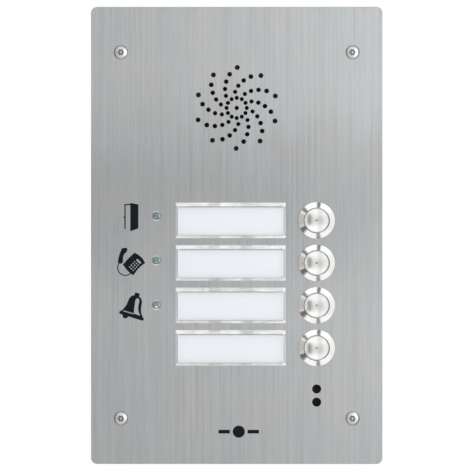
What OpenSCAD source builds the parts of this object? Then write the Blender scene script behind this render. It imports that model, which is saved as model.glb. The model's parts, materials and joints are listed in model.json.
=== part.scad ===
// Flush door intercom panel: a stainless steel front plate that carries a speaker behind a drilled
// grille, four call buttons with name windows, three status lights and a microphone, screwed to a
// galvanised steel box that is let into the wall.
//
// World frame: +Z up, +X to the visitor's right, front facing -Y. The origin is the centre of the
// four wall-fixing holes, on the rear face of the box.
// Face frame, used inside on_face(): x right, y up, z out of the wall, z = 0 on the plate's rear face.

/* [Front plate] */
// Width of the front plate
plate_w = 144; // [140:1:160]
// Height of the front plate
plate_h = 226; // [220:1:240]
// Thickness of the front plate
plate_t = 2.5; // [2.5:0.1:3]
// Radius of the plate's corners
plate_corner_r = 3; // [1:0.5:5]
// Depth of the engraving that holds the dark fill
fill_t = 0.3; // [0.2:0.05:0.5]

/* [Security screws] */
// Distance of the screws from the vertical centre line
screw_x = 57.25; // [56:0.25:58]
// Distance of the screws from the horizontal centre line
screw_y = 90.5; // [89:0.5:91]
// Radius of the screw shank
screw_r = 1.75; // [1.5:0.05:1.75]
// Radius of the raised countersunk head
screw_head_r = 3.3; // [3:0.1:3.4]
// Length of the screw behind its head's rim
screw_l = 16; // [14:1:20]

/* [Speaker grille] */
// Height of the grille's centre above the panel's centre
grille_y = 63; // [60:1:65]
// Radius of the centre hole and of the ring of twelve holes
small_hole_r = 1.05; // [0.8:0.05:1.1]
// Radius of the ring of twelve holes
inner_ring_r = 5; // [4.5:0.5:5]
// Radius of the innermost ten-hole ring
first_ring_r = 8; // [8:0.5:8.5]
// Step in radius between the ten-hole rings
ring_step = 3; // [2.6:0.1:3]
// Angle of the first hole in the innermost ten-hole ring
ring_phase = 23.7; // [0:0.1:36]

/* [Name windows] */
// Horizontal centre of the name windows
window_x = -3; // [-5:0.5:-2]
// Height of the top row of windows and buttons
top_row_y = 7.4; // [6:0.1:8]
// Pitch of the rows
row_pitch = 21; // [21:0.5:22]
// Width of a window's flange
window_w = 54.4; // [53.8:0.1:55]
// Height of a window's flange
window_h = 17.6; // [17.4:0.1:18.4]
// Distance of the card below the flange's centre
window_drop = 0.35; // [0:0.05:0.5]
// Height of the flange above the plate
window_t = 1.5; // [1.2:0.1:2]
// Thickness of the clear face over the card
window_face_t = 1.1; // [0.8:0.1:1.1]

/* [Call buttons] */
// Horizontal centre of the call buttons
button_x = 39.5; // [39:0.5:41]
// Radius of the polished bezel
bezel_r = 9; // [8.9:0.1:9.4]
// Height of the bezel above the plate
bezel_h = 1.7; // [1.5:0.1:2.2]
// Radius of the threaded barrel
barrel_r = 8; // [7.8:0.1:8]
// Length of the barrel behind the plate
barrel_l = 18; // [17:0.5:20]
// Radius of the push cap
cap_r = 6.05; // [5.8:0.05:6.2]
// Travel of the button
button_travel = 1.5; // [1:0.1:1.6]

/* [Status lights] */
// Horizontal centre of the status lights
lens_x = -39.7; // [-41:0.1:-38]
// Height of the top status light
lens_top_y = 9.6; // [8:0.1:11]
// Pitch of the status lights
lens_pitch = 22; // [20:0.5:23]
// Radius of the lens
lens_r = 1.9; // [1.6:0.05:1.9]

/* [Microphone] */
// Height of the upper sound hole
mic_upper_y = -75.9; // [-77:0.1:-75]
// Pitch of the two sound holes
mic_pitch = 6.5; // [5.5:0.1:6.5]
// Radius of a sound hole
mic_hole_r = 2.25; // [1.5:0.05:2.3]

/* [Wall box] */
// Outer width of the wall box
box_w = 128; // [128:1:130]
// Outer height of the wall box
box_h = 196; // [196:1:200]
// Outer depth of the wall box
box_depth = 48; // [47:1:60]
// Sheet thickness of the wall box
box_wall = 1.2; // [1:0.1:1.5]
// Horizontal spacing of the wall-fixing holes
fixing_dx = 60; // [50:1:80]
// Vertical spacing of the wall-fixing holes
fixing_dz = 120; // [100:1:140]
// Radius of a wall-fixing hole
fixing_r = 2.25; // [2:0.25:2.75]
// Radius of the cable entry through the grommet
cable_r = 5.5; // [4:0.5:6]

/* [Hidden] */
$fn = 96;

// Overshoot of a cutting shape past the face that it cuts
cut = 1;
// Rows of call buttons and name windows, and the status lights
rows = [0, 1, 2, 3];
lenses = [0, 1, 2];
sides = [-1, 1];

// Twist of each ten-hole ring from the innermost one, clockwise
ring_turns = [0, 10, 20, 30, 42.5];
ring_holes = 10;
inner_ring_holes = 12;
// Growth of the grille holes from the innermost ten-hole ring to the outermost
ring_hole_growth = 0.045;

// Width and depth of the deburred edge round the front of the plate
edge_t = 0.3;

gasket_t = 1.5;
// Air left between the gasket and the box, which the foam takes up as the screws are tightened
gasket_gap = 0.1;
gasket_w = 134;
gasket_h = 202;
gasket_band = 6;

// Each screw head sits a little below the rim of its countersink
screw_clear_r = 1.95;
sink_gap = 0.25;
head_z = plate_t - sink_gap;
head_rise = 0.7;
star_depth = 1;

// Name window: a plug through the plate, snapped in behind it
slot_w = 53.2;
slot_h = 15.6;
plug_w = 53;
plug_h = 15.4;
pocket_w = 51.9;
pocket_h = 14.3;
plug_back = 2.4;
snap_x = 8;
snap_w = 4.6;
snap_slit = 0.7;
snap_slit_front = 1.2;
hook_out = 0.5;
hook_gap = 0.1;
hook_l = 1.3;
window_bevel = 1.2;
card_w = 51.7;
card_h = 14;
card_t = 0.4;
card_gap = 0.05;
diffuser_t = 1.5;
card_top_z = plate_t + window_t - window_face_t - card_gap;

// Call button: bezel and barrel, push cap on a stem, return spring, switch base
bezel_edge = 0.5;
bezel_lip = 0.25;
bore_gap = 0.1;
bore_r = cap_r + bore_gap;
cap_t = 3;
cap_drop = 0.55;
cap_top_z = plate_t + bezel_h - cap_drop;
dish_r = 5.5;
dish_depth = 0.4;
dish_sphere_r = (dish_r * dish_r + dish_depth * dish_depth) / (2 * dish_depth);
dimple_r = 0.45;
stem_r = 2.95;
guide_r = 3.05;
web_front_z = -9;
web_t = 2;
rear_bore_r = 6.6;
barb_r = 3.9;
barb_t = 1.2;
barb_gap = 0.1;
barb_slit = 0.8;
barb_slit_l = 8;
tip_r = 2;
tip_gap = 0.15;
seal_inner_r = 8.2;
seal_outer_r = 8.75;
seal_t = 0.4;
thread_gap = 0.05;
nut_af = 19;
nut_t = 3;
base_r = 7;
base_l = 8;
base_spigot_r = 6.5;
base_spigot_l = 1.8;
// The tip of the stem stops just short of the switch base at the end of its travel
tip_z = base_spigot_l - barrel_l + button_travel + tip_gap;
tab_w = 2.8;
tab_t = 0.5;
tab_l = 5;
tab_dy = 3;
spring_mean_r = 4.6;
spring_wire_r = 0.35;
spring_turns = 5;
spring_gap = 0.05;
spring_sides = 6;
spring_steps_per_turn = 14;

// Status lights: clear pipes with a shoulder behind the plate
lens_hole_r = 2;
lens_chamfer_r = 2.45;
lens_dome = 0.35;
lens_shoulder_r = 3;
lens_shoulder_t = 1;
pipe_r = 1.5;

// Speaker
speaker_r = 25;
gasket_inner_r = 20.5;
speaker_gasket_t = 1;
flange_t = 1;
basket_r = 21.8;
basket_back_r = 13;
basket_t = 0.8;
basket_depth = 8;
basket_windows = 6;
basket_window_r = 2;
cone_edge_r = basket_r - basket_t;
tag_w = 14;
tag_out = 4.5;
tag_t = 1.2;
magnet_r = 14;
magnet_t = 6;
yoke_r = 12;
yoke_t = 1.5;
cone_throat_r = 6;
cone_depth = 5;
cone_t = 0.4;
dust_cap_h = 1.8;
dome_steps = 8;
clamp_w = 52;
clamp_t = 1.5;
clamp_hole_r = 22.5;
speaker_stud = 20.5;

// Microphone
mic_r = 4.85;
mic_l = 6.5;
boot_r = 7.8;
boot_l = 10;
boot_front = 2.5;
boot_mouth_r = 6;

// Circuit board, on four studs
board_x = [-58, 24];
board_y = [-80, 28];
board_front_z = -11.2;
board_t = 1.6;
board_back_z = board_front_z - board_t;
board_inset = 4;
board_corner_r = 2;
stud_r = 1.5;
stud_clear_r = 1.6;
stud_foot_r = 2.3;
stud_foot_t = 0.5;
spacer_r = 2.9;
m3_af = 5.5;
m3_t = 2.4;
speaker_stud_l = 9;
board_stud_l = 17;

// Reflector between the board and the windows
reflector_w = 57;
reflector_margin = 9.6;
reflector_front_z = -3.4;
reflector_gap = 0.1;
reflector_hole_w = 50;
reflector_hole_h = 12;
led_size = [3.5, 2.8, 1.4];
led_dx = 17;

// Parts on the rear of the board: [x, y] of each
relay_at = [-42, 4];
relay_size = [15, 19, 15.5];
chip_sizes = [[6, 10, 1.7], [9, 9, 1.4], [5, 6, 1.6], [8, 8, 4.5]];
chip_places = [[-14, -8], [-12, -32], [8, 2], [-38, -52]];
capacitor_places = [[8, -44], [-4, -52], [-20, 14]];
capacitor_rs = [5, 4, 4];
capacitor_hs = [12.5, 11, 11];
capacitor_foot = 0.6;
block_ways = 6;
block_pitch = 5;
block_at = [-20, -72];
block_d = 8.2;
block_h = 10;
block_screw_r = 1.6;
block_throat_r = 1.5;
plug_size_audio = [7.4, 5.8, 7];
speaker_plug_at = [0, 22];
mic_plug_at = [14, -64];
button_plug_at = [19, -24];
button_plug_size = [5.8, 18.5, 7];
button_plug_pitch = 2;

// Trimmers on the rear of the board
trimmer_x = -48;
speaker_trimmer_y = -22;
mic_trimmer_y = -36;
trimmer_w = 6.8;
trimmer_h = 4.6;
rotor_r = 2.3;
rotor_gap = 0.08;
rotor_sink = 1.3;
rotor_proud = 0.5;
rotor_pin_r = 0.9;
rotor_pin_l = 1.4;
rotor_pin_gap = 0.05;
rotor_slot_w = 0.6;
rotor_slot_l = 3.4;
rotor_slot_d = 0.8;

// Wires
wire_r = 0.6;
wire_sides = 8;
wire_rings = 14;

// Wall box
box_corner_r = 3;
box_front_z = -gasket_t;
box_back_z = -gasket_t - box_depth;
box_floor_z = box_back_z + box_wall;
inner_w = box_w - 2 * box_wall;
inner_h = box_h - 2 * box_wall;
lug_leg = 20;
lug_t = 1.5;
boss_af = 7;
boss_l = 5;
boss_bore_r = 1.82;
entry_z = -28;
entry_r = 8;
grommet_r = 10;
grommet_lip = 2.5;
grommet_neck_gap = 0.05;
knockout_r = 10;
knockout_groove = 0.6;
knockout_depth = 0.7;
knockout_y = [-45, 45];
knockout_x = [-30, 30];
earth_x = 40;
earth_r = 2;
earth_head_r = 3.9;
earth_head_t = 2.6;
earth_washer_r = 4.6;
earth_washer_t = 0.9;
earth_tail = 3;
earth_gap = 0.05;

// ---- helpers ----

function row_y(row) = top_row_y - row * row_pitch;
function window_y(row) = row_y(row) - window_drop;
function lens_y(n) = lens_top_y - n * lens_pitch;
function bezier(p, t) =
    pow(1 - t, 3) * p[0] + 3 * t * pow(1 - t, 2) * p[1] + 3 * t * t * (1 - t) * p[2] + pow(t, 3) * p[3];
function unit(v) = v / norm(v);

// Places children drawn in the face frame into the world
module on_face() {
    translate([0, -box_depth - gasket_t, 0]) rotate([90, 0, 0]) children();
}

module rounded_rect(w, h, r) {
    square([w - 2 * r, h], center = true);
    square([w, h - 2 * r], center = true);
    for (x = sides, y = sides) translate([x * (w / 2 - r), y * (h / 2 - r)]) circle(r);
}

// A slab from z = z0 up to z0 + t
module slab(w, h, t, z0 = 0) {
    translate([0, 0, z0 + t / 2]) cube([w, h, t], center = true);
}

// A block whose four front edges slope in by the same amount as they drop
module bevelled_block(w, h, t, bevel) {
    side = t - bevel;
    intersection() {
        rotate([90, 0, 0]) linear_extrude(h + cut, center = true)
            polygon([[-w / 2, 0], [w / 2, 0], [w / 2, side], [w / 2 - bevel, t], [bevel - w / 2, t], [-w / 2, side]]);
        rotate([90, 0, 90]) linear_extrude(w + cut, center = true)
            polygon([[-h / 2, 0], [h / 2, 0], [h / 2, side], [h / 2 - bevel, t], [bevel - h / 2, t], [-h / 2, side]]);
    }
}

module tube(outer, inner, l, z0 = 0) {
    translate([0, 0, z0]) difference() {
        cylinder(r = outer, h = l);
        translate([0, 0, -cut]) cylinder(r = inner, h = l + 2 * cut);
    }
}

module hex_nut(af, bore, t, z0) {
    translate([0, 0, z0]) difference() {
        cylinder(r = af / sqrt(3), h = t, $fn = 6);
        translate([0, 0, -cut]) cylinder(r = bore, h = t + 2 * cut);
    }
}

module at_screws() {
    for (x = sides, y = sides) translate([x * screw_x, y * screw_y, 0]) children();
}

module at_button(row) {
    translate([button_x, row_y(row), 0]) children();
}

// Places children at the middle of a window's card
module at_window(row) {
    translate([window_x, window_y(row), 0]) children();
}

module at_speaker() {
    translate([0, grille_y, 0]) children();
}

module at_speaker_studs() {
    at_speaker() for (x = sides, y = sides) translate([x * speaker_stud, y * speaker_stud, 0]) children();
}

module at_board_studs() {
    for (x = [board_x[0] + board_inset, board_x[1] - board_inset])
        for (y = [board_y[0] + board_inset, board_y[1] - board_inset])
            translate([x, y, 0]) children();
}

// A tube of wire_sides flats swept along the curve of four control points. The curve stays close to
// the upright plane through its ends, so that plane's normal keeps the rings from twisting.
module wire(p) {
    plane_normal = cross(p[3] - p[0], [0, 0, 1]);
    rings = [for (i = [0:wire_rings - 1]) i / (wire_rings - 1)];
    centres = [for (t = rings) bezier(p, t)];
    points = [
        for (i = [0:wire_rings - 1])
            let (
                ahead = centres[min(i + 1, wire_rings - 1)],
                behind = centres[max(i - 1, 0)],
                along = unit(ahead - behind),
                across = unit(cross(along, plane_normal)),
                up = cross(along, across)
            )
            for (s = [0:wire_sides - 1])
                centres[i] + wire_r * (cos(360 * s / wire_sides) * across + sin(360 * s / wire_sides) * up)
    ];
    tube_solid(points, wire_rings, wire_sides);
}

// Closed solid over count rings of sides points each
module tube_solid(points, count, n) {
    walls = [
        for (i = [0:count - 2], s = [0:n - 1])
            [i * n + s, i * n + (s + 1) % n, (i + 1) * n + (s + 1) % n, (i + 1) * n + s]
    ];
    first = [for (s = [n - 1:-1:0]) s];
    last = [for (s = [0:n - 1]) (count - 1) * n + s];
    polyhedron(points, concat(walls, [first, last]), convexity = 6);
}

// ---- front plate and what is fixed to it ----

module grille_holes() {
    circle(small_hole_r);
    for (i = [0:inner_ring_holes - 1]) rotate(i * 360 / inner_ring_holes) translate([inner_ring_r, 0])
        circle(small_hole_r - ring_hole_growth / 2);
    for (ring = [0:len(ring_turns) - 1], i = [0:ring_holes - 1])
        rotate(ring_phase - ring_turns[ring] + i * 360 / ring_holes)
            translate([first_ring_r + ring * ring_step, 0])
                circle(small_hole_r + ring * ring_hole_growth);
}

module front_plate() {
    color("silver") on_face() difference() {
        linear_extrude(plate_t) difference() {
            rounded_rect(plate_w, plate_h, plate_corner_r);
            translate([0, grille_y]) grille_holes();
            for (row = rows) translate([button_x, row_y(row)]) circle(barrel_r + bore_gap);
            for (row = rows) translate([window_x, window_y(row)]) square([slot_w, slot_h], center = true);
            for (n = lenses) translate([lens_x, lens_y(n)]) circle(lens_hole_r);
            for (n = [0, 1]) translate([button_x, mic_upper_y - n * mic_pitch]) circle(mic_hole_r);
            for (x = sides, y = sides) translate([x * screw_x, y * screw_y]) circle(screw_clear_r);
        }
        edge_break();
        at_screws() countersink();
        for (n = lenses) translate([lens_x, lens_y(n), plate_t + lens_hole_r - lens_chamfer_r])
            cylinder(r1 = lens_hole_r, r2 = lens_chamfer_r + cut, h = lens_chamfer_r - lens_hole_r + cut);
        translate([0, 0, plate_t - fill_t]) linear_extrude(fill_t + cut) {
            pictograms();
            mark_outline();
        }
    }
}

// What the deburred front edge loses, along the four sides and round the four corners
module edge_break() {
    r = plate_corner_r;
    for (x = sides, y = sides) scale([x, y, 1]) {
        translate([plate_w / 2, 0, plate_t]) rotate([90, 0, 0]) linear_extrude(plate_h / 2 - r) edge_profile();
        translate([0, plate_h / 2, plate_t]) rotate([90, 0, 90]) linear_extrude(plate_w / 2 - r) edge_profile();
        translate([plate_w / 2 - r, plate_h / 2 - r, plate_t]) rotate_extrude(angle = 90)
            translate([r, 0]) edge_profile();
    }
}

module edge_profile() {
    polygon([[-edge_t - cut, cut], [cut, -edge_t - cut], [cut, cut]]);
}

module countersink() {
    top = screw_head_r + sink_gap;
    depth = top - screw_clear_r;
    translate([0, 0, plate_t - depth]) cylinder(r1 = screw_clear_r, r2 = top + cut, h = depth + cut);
}

module plate_studs() {
    color("silver") on_face() {
        at_speaker_studs() weld_stud(speaker_stud_l);
        at_board_studs() weld_stud(board_stud_l);
    }
}

module weld_stud(l) {
    translate([0, 0, -l]) cylinder(r = stud_r, h = l);
    translate([0, 0, -stud_foot_t]) cylinder(r = stud_foot_r, h = stud_foot_t);
}

// An open door seen at an angle, a telephone and a bell, each beside its status light
module pictograms() {
    translate([-52.2, 9.2]) door_pictogram();
    translate([-51, -14]) telephone_pictogram();
    translate([-52, -39.7]) rotate(-17) bell_pictogram();
}

module door_pictogram() {
    polygon([[-0.4, 6.9], [3.6, 6.1], [3.6, -5.7], [-0.4, -7.2]]);
    translate([-3.3, -6]) square([0.6, 12.3]);
    translate([-3.3, 5.7]) square([3.2, 0.6]);
    translate([-3.2, -0.3]) circle(0.5);
}

module telephone_pictogram() {
    difference() {
        polygon([
            [-5.3, -0.4], [-2.5, 2.7], [0.5, 5.5], [2.6, 4.3], [4.4, 2.7], [5.8, 0.4],
            [3.9, -1], [2.2, -2.6], [0.9, -4.3], [-0.1, -5.8], [-2, -4.4], [-3.6, -2.7]
        ]);
        rotate(-43) {
            for (x = [0:2], y = [0:3]) translate([1.2 * x - 0.27, 1.1 - 1.2 * y]) square(0.58, center = true);
            translate([1.1, 2.6]) {
                square([2, 0.9], center = true);
                for (end = sides) translate([end, 0]) circle(0.45);
            }
        }
    }
    // handset, lying to the left of the body
    polygon([
        [-5.3, 7.8], [-3.3, 7.8], [-3, 7.3], [-3.4, 5.8], [-4.2, 5.2], [-5, 3.9], [-5.2, 2.5],
        [-5.1, 1.2], [-5.8, 0], [-7.2, 0.1], [-7.7, 0.9], [-7.4, 3], [-6.7, 5.4], [-5.8, 7.4]
    ]);
    // cord, an open loop from the handset to the body's lowest corner
    translate([-4, -1.9]) difference() {
        circle(4.1);
        circle(3.6);
        polygon([[0, 0], [5, -5], [6, 6], [-4, 4]]);
    }
}

// Drawn upright on the middle of its rim
module bell_pictogram() {
    difference() {
        union() {
            translate([-0.3, 7]) circle(3.4);
            polygon([
                [-3.7, 7], [3.1, 7], [3.5, 4.5], [4.2, 2.6], [5.6, 0.9], [5.6, -0.8], [-5.6, -0.8], [-5.6, 0.9],
                [-4.6, 2.6], [-3.9, 4.6]
            ]);
        }
        polygon([[-0.4, 8], [0.1, 9.1], [1, 9.1], [1.6, 8.2], [1.9, 5], [2.7, 3], [4.1, 1.3], [0.8, 1.3], [0.2, 4]]);
        translate([-4.6, 0.95]) square([5.2, 0.45]);
    }
    for (end = sides) translate([end * 5.5, 0]) circle(0.8);
    translate([-0.4, 10.7]) square([2.4, 1.8], center = true);
    translate([-2.9, -0.8]) circle(1.4);
}

module pictogram_inlays() {
    color([0.1, 0.11, 0.15]) on_face() translate([0, 0, plate_t - fill_t]) linear_extrude(fill_t) pictograms();
}

// A plain dot between two bars
module mark_outline() {
    translate([1, -97]) {
        circle(3);
        for (x = sides) translate([x * 7.2, 0]) square([5.6, 1.8], center = true);
    }
}

module maker_mark() {
    color([0.1, 0.11, 0.15]) on_face() translate([0, 0, plate_t - fill_t]) linear_extrude(fill_t) mark_outline();
}

module security_screws() {
    color("gainsboro") on_face() at_screws() difference() {
        union() {
            translate([0, 0, head_z - screw_l]) cylinder(r = screw_r, h = screw_l);
            translate([0, 0, head_z - screw_head_r + screw_r])
                cylinder(r1 = screw_r, r2 = screw_head_r, h = screw_head_r - screw_r);
            raised_head();
        }
        translate([0, 0, head_z + head_rise - star_depth]) linear_extrude(star_depth + cut) star_recess();
    }
}

// The raised part of the head is the cap of a sphere
module raised_head() {
    ball_r = (screw_head_r * screw_head_r + head_rise * head_rise) / (2 * head_rise);
    intersection() {
        translate([0, 0, head_z + head_rise - ball_r]) sphere(ball_r);
        translate([0, 0, head_z]) cylinder(r = screw_head_r, h = head_rise + cut);
    }
}

// Six lobes around a pin that keeps an ordinary key out
module star_recess() {
    difference() {
        union() {
            circle(1.25);
            for (a = [0:60:300]) rotate(a) translate([1.2, 0]) circle(0.42);
        }
        circle(0.5);
    }
}

module plate_gasket() {
    color("dimgray") on_face() translate([0, 0, gasket_gap - gasket_t]) linear_extrude(gasket_t - gasket_gap)
        difference() {
            rounded_rect(gasket_w, gasket_h, box_corner_r + gasket_band / 2);
            rounded_rect(gasket_w - 2 * gasket_band, gasket_h - 2 * gasket_band, box_corner_r);
        }
}

// ---- name windows ----

module name_window(row) {
    color([0.9, 0.93, 0.95, 0.4]) on_face() at_window(row) difference() {
        union() {
            translate([0, window_drop, plate_t]) bevelled_block(window_w, window_h, window_t, window_bevel);
            slab(plug_w, plug_h, plate_t + plug_back, -plug_back);
            for (x = sides, y = sides) translate([x * snap_x, y * plug_h / 2, 0]) snap_hook(y);
        }
        slab(pocket_w, pocket_h, plate_t + plug_back + window_t - window_face_t + cut, -plug_back - cut);
        for (x = sides, edge = sides) translate([x * snap_x + edge * (snap_w + snap_slit) / 2, 0, 0])
            slab(snap_slit, plug_h + cut, plug_back + snap_slit_front + cut, -plug_back - cut);
    }
}

// A hook that catches behind the plate, pointing up or down
module snap_hook(way) {
    scale([1, way, 1]) rotate([90, 0, 90]) linear_extrude(snap_w, center = true)
        polygon([[-0.2, -hook_gap], [hook_out, -hook_gap], [hook_out, -hook_gap - 0.4], [0, -hook_l], [-0.2, -hook_l]]);
}

module name_card(row) {
    color("ghostwhite") on_face() at_window(row) translate([0, (card_h - pocket_h) / 2 + card_gap, 0])
        slab(card_w, card_h, card_t, card_top_z - card_t);
}

module name_diffusers() {
    color("whitesmoke") on_face() for (row = rows) at_window(row)
        slab(card_w, card_h, diffuser_t, card_top_z - card_t - card_gap - diffuser_t);
}

module label_reflector() {
    span = (len(rows) - 1) * row_pitch;
    depth = reflector_front_z - board_front_z - reflector_gap;
    color("white") on_face() difference() {
        translate([window_x, window_y((len(rows) - 1) / 2), 0])
            slab(reflector_w, span + 2 * reflector_margin, depth, reflector_front_z - depth);
        for (row = rows) at_window(row)
            slab(reflector_hole_w, reflector_hole_h, depth + 2 * cut, reflector_front_z - depth - cut);
    }
}

// ---- status lights ----

module status_lens(n) {
    ball_r = (lens_r * lens_r + lens_dome * lens_dome) / (2 * lens_dome);
    color([0.5, 0.6, 0.62, 0.8]) on_face() translate([lens_x, lens_y(n), 0]) {
        cylinder(r = lens_r, h = plate_t - lens_dome);
        intersection() {
            translate([0, 0, plate_t - ball_r]) sphere(ball_r);
            translate([0, 0, plate_t - lens_dome]) cylinder(r = lens_r, h = lens_dome + cut);
        }
        translate([0, 0, -lens_shoulder_t]) cylinder(r = lens_shoulder_r, h = lens_shoulder_t);
        pipe_l = -board_front_z - led_size[2] - lens_shoulder_t - 0.4;
        translate([0, 0, -lens_shoulder_t - pipe_l]) cylinder(r = pipe_r, h = pipe_l);
    }
}

// ---- call buttons ----

module button_housing(row) {
    top = plate_t + bezel_h;
    web_back_z = web_front_z - web_t;
    color("gainsboro") on_face() at_button(row) rotate_extrude() polygon([
        [bore_r, top - bezel_lip], [bore_r + bezel_lip, top], [bezel_r, plate_t + bezel_edge], [bezel_r, plate_t],
        [seal_outer_r, plate_t], [seal_outer_r, plate_t + seal_t], [seal_inner_r, plate_t + seal_t],
        [seal_inner_r, plate_t], [barrel_r, plate_t], [barrel_r, -barrel_l], [rear_bore_r, -barrel_l],
        [rear_bore_r, web_back_z], [guide_r, web_back_z], [guide_r, web_front_z], [bore_r, web_front_z]
    ]);
}

module call_button(row) {
    barb_z = web_front_z - web_t - barb_gap;
    color("gainsboro") on_face() at_button(row) difference() {
        union() {
            translate([0, 0, cap_top_z - cap_t]) cylinder(r = cap_r, h = cap_t);
            translate([0, 0, barb_z]) cylinder(r = stem_r, h = cap_top_z - cap_t - barb_z);
            translate([0, 0, barb_z - barb_t]) cylinder(r1 = stem_r, r2 = barb_r, h = barb_t);
            translate([0, 0, tip_z]) cylinder(r = tip_r, h = barb_z - barb_t - tip_z);
        }
        translate([0, 0, cap_top_z + dish_sphere_r - dish_depth]) sphere(dish_sphere_r);
        translate([0, 0, cap_top_z - dish_depth]) sphere(dimple_r);
        slab(barb_slit, 2 * barb_r + cut, barb_slit_l, tip_z - cut);
    }
}

module button_spring(row) {
    low = web_front_z + spring_wire_r + spring_gap;
    high = cap_top_z - cap_t - spring_wire_r - spring_gap;
    steps = spring_turns * spring_steps_per_turn;
    points = [
        for (i = [0:steps])
            let (a = 360 * i / spring_steps_per_turn, z = low + (high - low) * i / steps)
            for (s = [0:spring_sides - 1])
                let (b = 360 * s / spring_sides, r = spring_mean_r + spring_wire_r * cos(b))
                [r * cos(a), r * sin(a), z + spring_wire_r * sin(b)]
    ];
    color("silver") on_face() at_button(row) tube_solid(points, steps + 1, spring_sides);
}

module button_seals() {
    color("dimgray") on_face() for (row = rows) at_button(row) tube(seal_outer_r, seal_inner_r, seal_t, plate_t);
}

module button_nuts() {
    color("silver") on_face() for (row = rows) at_button(row) hex_nut(nut_af, barrel_r + thread_gap, nut_t, -nut_t);
}

module switch_bases() {
    color("black") on_face() for (row = rows) at_button(row) {
        translate([0, 0, -barrel_l - base_l]) cylinder(r = base_r, h = base_l);
        translate([0, 0, -barrel_l]) cylinder(r = base_spigot_r, h = base_spigot_l);
    }
}

module switch_terminals() {
    color("goldenrod") on_face() for (row = rows, side = sides) at_button(row)
        translate([0, side * tab_dy, 0]) difference() {
            slab(tab_w, tab_t, tab_l, -barrel_l - base_l - tab_l);
            translate([0, 0, -barrel_l - base_l - tab_l * 0.65]) rotate([90, 0, 0])
                cylinder(r = 0.6, h = tab_t + cut, center = true);
        }
}

// ---- speaker ----

module speaker_gasket() {
    color("dimgray") on_face() at_speaker() tube(speaker_r, gasket_inner_r, speaker_gasket_t, -speaker_gasket_t);
}

module speaker_frame() {
    front = -speaker_gasket_t;
    back = front - flange_t - basket_depth;
    color("darkgray") on_face() at_speaker() difference() {
        union() {
            rotate_extrude() polygon([
                [speaker_r, front], [speaker_r, front - flange_t], [basket_r, front - flange_t],
                [basket_r, front - flange_t - 2], [basket_back_r + basket_t, back], [cone_throat_r + 1, back],
                [cone_throat_r + 1, back + basket_t], [basket_back_r, back + basket_t],
                [cone_edge_r, front - flange_t - 2], [cone_edge_r, front]
            ]);
            // strip that carries the two solder tags, below the magnet
            translate([0, -basket_back_r - tag_out / 2, 0]) slab(tag_w, tag_out, tag_t, back);
        }
        for (i = [0:basket_windows - 1]) rotate(i * 360 / basket_windows)
            translate([(basket_r + basket_back_r) / 2, 0, (front - flange_t + back) / 2 - 1])
                rotate([0, 90, 0]) cylinder(r = basket_window_r, h = basket_depth, center = true);
    }
}

// The cone, its rolled edge and its dust cap are one skin
module speaker_cone() {
    front = -speaker_gasket_t - 0.3;
    throat_z = front - cone_depth;
    neck_z = throat_z - 3;
    ball_r = (cone_throat_r * cone_throat_r + dust_cap_h * dust_cap_h) / (2 * dust_cap_h);
    ball_z = throat_z + dust_cap_h - ball_r;
    inner_ball_r = ball_r - cone_t;
    inner_throat_r = cone_throat_r - cone_t;
    dome = [for (i = [dome_steps:-1:0]) i * asin(cone_throat_r / ball_r) / dome_steps];
    inner_dome = [for (i = [0:dome_steps]) i * asin(inner_throat_r / inner_ball_r) / dome_steps];
    color("dimgray") on_face() at_speaker() rotate_extrude() polygon(concat(
        [[cone_edge_r, front - cone_t], [cone_edge_r, front], [cone_edge_r - 0.7, front + 0.35]],
        [[cone_edge_r - 2.3, front + 0.35], [cone_edge_r - 3, front - 0.1]],
        [for (a = dome) [ball_r * sin(a), ball_z + ball_r * cos(a)]],
        [for (a = inner_dome) [inner_ball_r * sin(a), ball_z + inner_ball_r * cos(a)]],
        [[inner_throat_r, neck_z], [cone_throat_r, neck_z], [cone_throat_r, throat_z - 1.5 * cone_t]],
        [[cone_edge_r - 3, front - 1.5 * cone_t]]
    ));
}

module speaker_magnet() {
    front = -speaker_gasket_t - flange_t - basket_depth;
    color("black") on_face() at_speaker() {
        translate([0, 0, front - magnet_t]) cylinder(r = magnet_r, h = magnet_t);
        translate([0, 0, front - magnet_t - yoke_t]) cylinder(r = yoke_r, h = yoke_t);
    }
}

module speaker_clamp() {
    front = -speaker_gasket_t - flange_t;
    color("silver") on_face() at_speaker() translate([0, 0, front - clamp_t]) linear_extrude(clamp_t) difference() {
        rounded_rect(clamp_w, clamp_w, board_corner_r);
        circle(clamp_hole_r);
        for (x = sides, y = sides) translate([x * speaker_stud, y * speaker_stud]) circle(stud_clear_r);
    }
}

// ---- microphone ----

module at_microphone() {
    translate([button_x, mic_upper_y - mic_pitch / 2, 0]) children();
}

module microphone_capsule() {
    color("silver") on_face() at_microphone() translate([0, 0, -boot_front - mic_l]) cylinder(r = mic_r, h = mic_l);
}

module microphone_boot() {
    color("dimgray") on_face() at_microphone() rotate_extrude() polygon([
        [boot_mouth_r, 0], [boot_r, 0], [boot_r, -boot_l], [mic_r - 1.5, -boot_l], [mic_r - 1.5, -boot_front - mic_l],
        [mic_r, -boot_front - mic_l], [mic_r, -boot_front], [boot_mouth_r, -boot_front + 1]
    ]);
}

// ---- circuit board ----

module main_board() {
    w = board_x[1] - board_x[0];
    h = board_y[1] - board_y[0];
    color("darkgreen") on_face() difference() {
        translate([board_x[0] + w / 2, board_y[0] + h / 2, board_back_z]) linear_extrude(board_t)
            rounded_rect(w, h, board_corner_r);
        at_board_studs() translate([0, 0, board_back_z - cut]) cylinder(r = stud_clear_r, h = board_t + 2 * cut);
    }
}

module board_spacers() {
    l = -board_front_z - stud_foot_t;
    color("silver") on_face() at_board_studs() tube(spacer_r, stud_clear_r, l, board_front_z);
}

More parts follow.
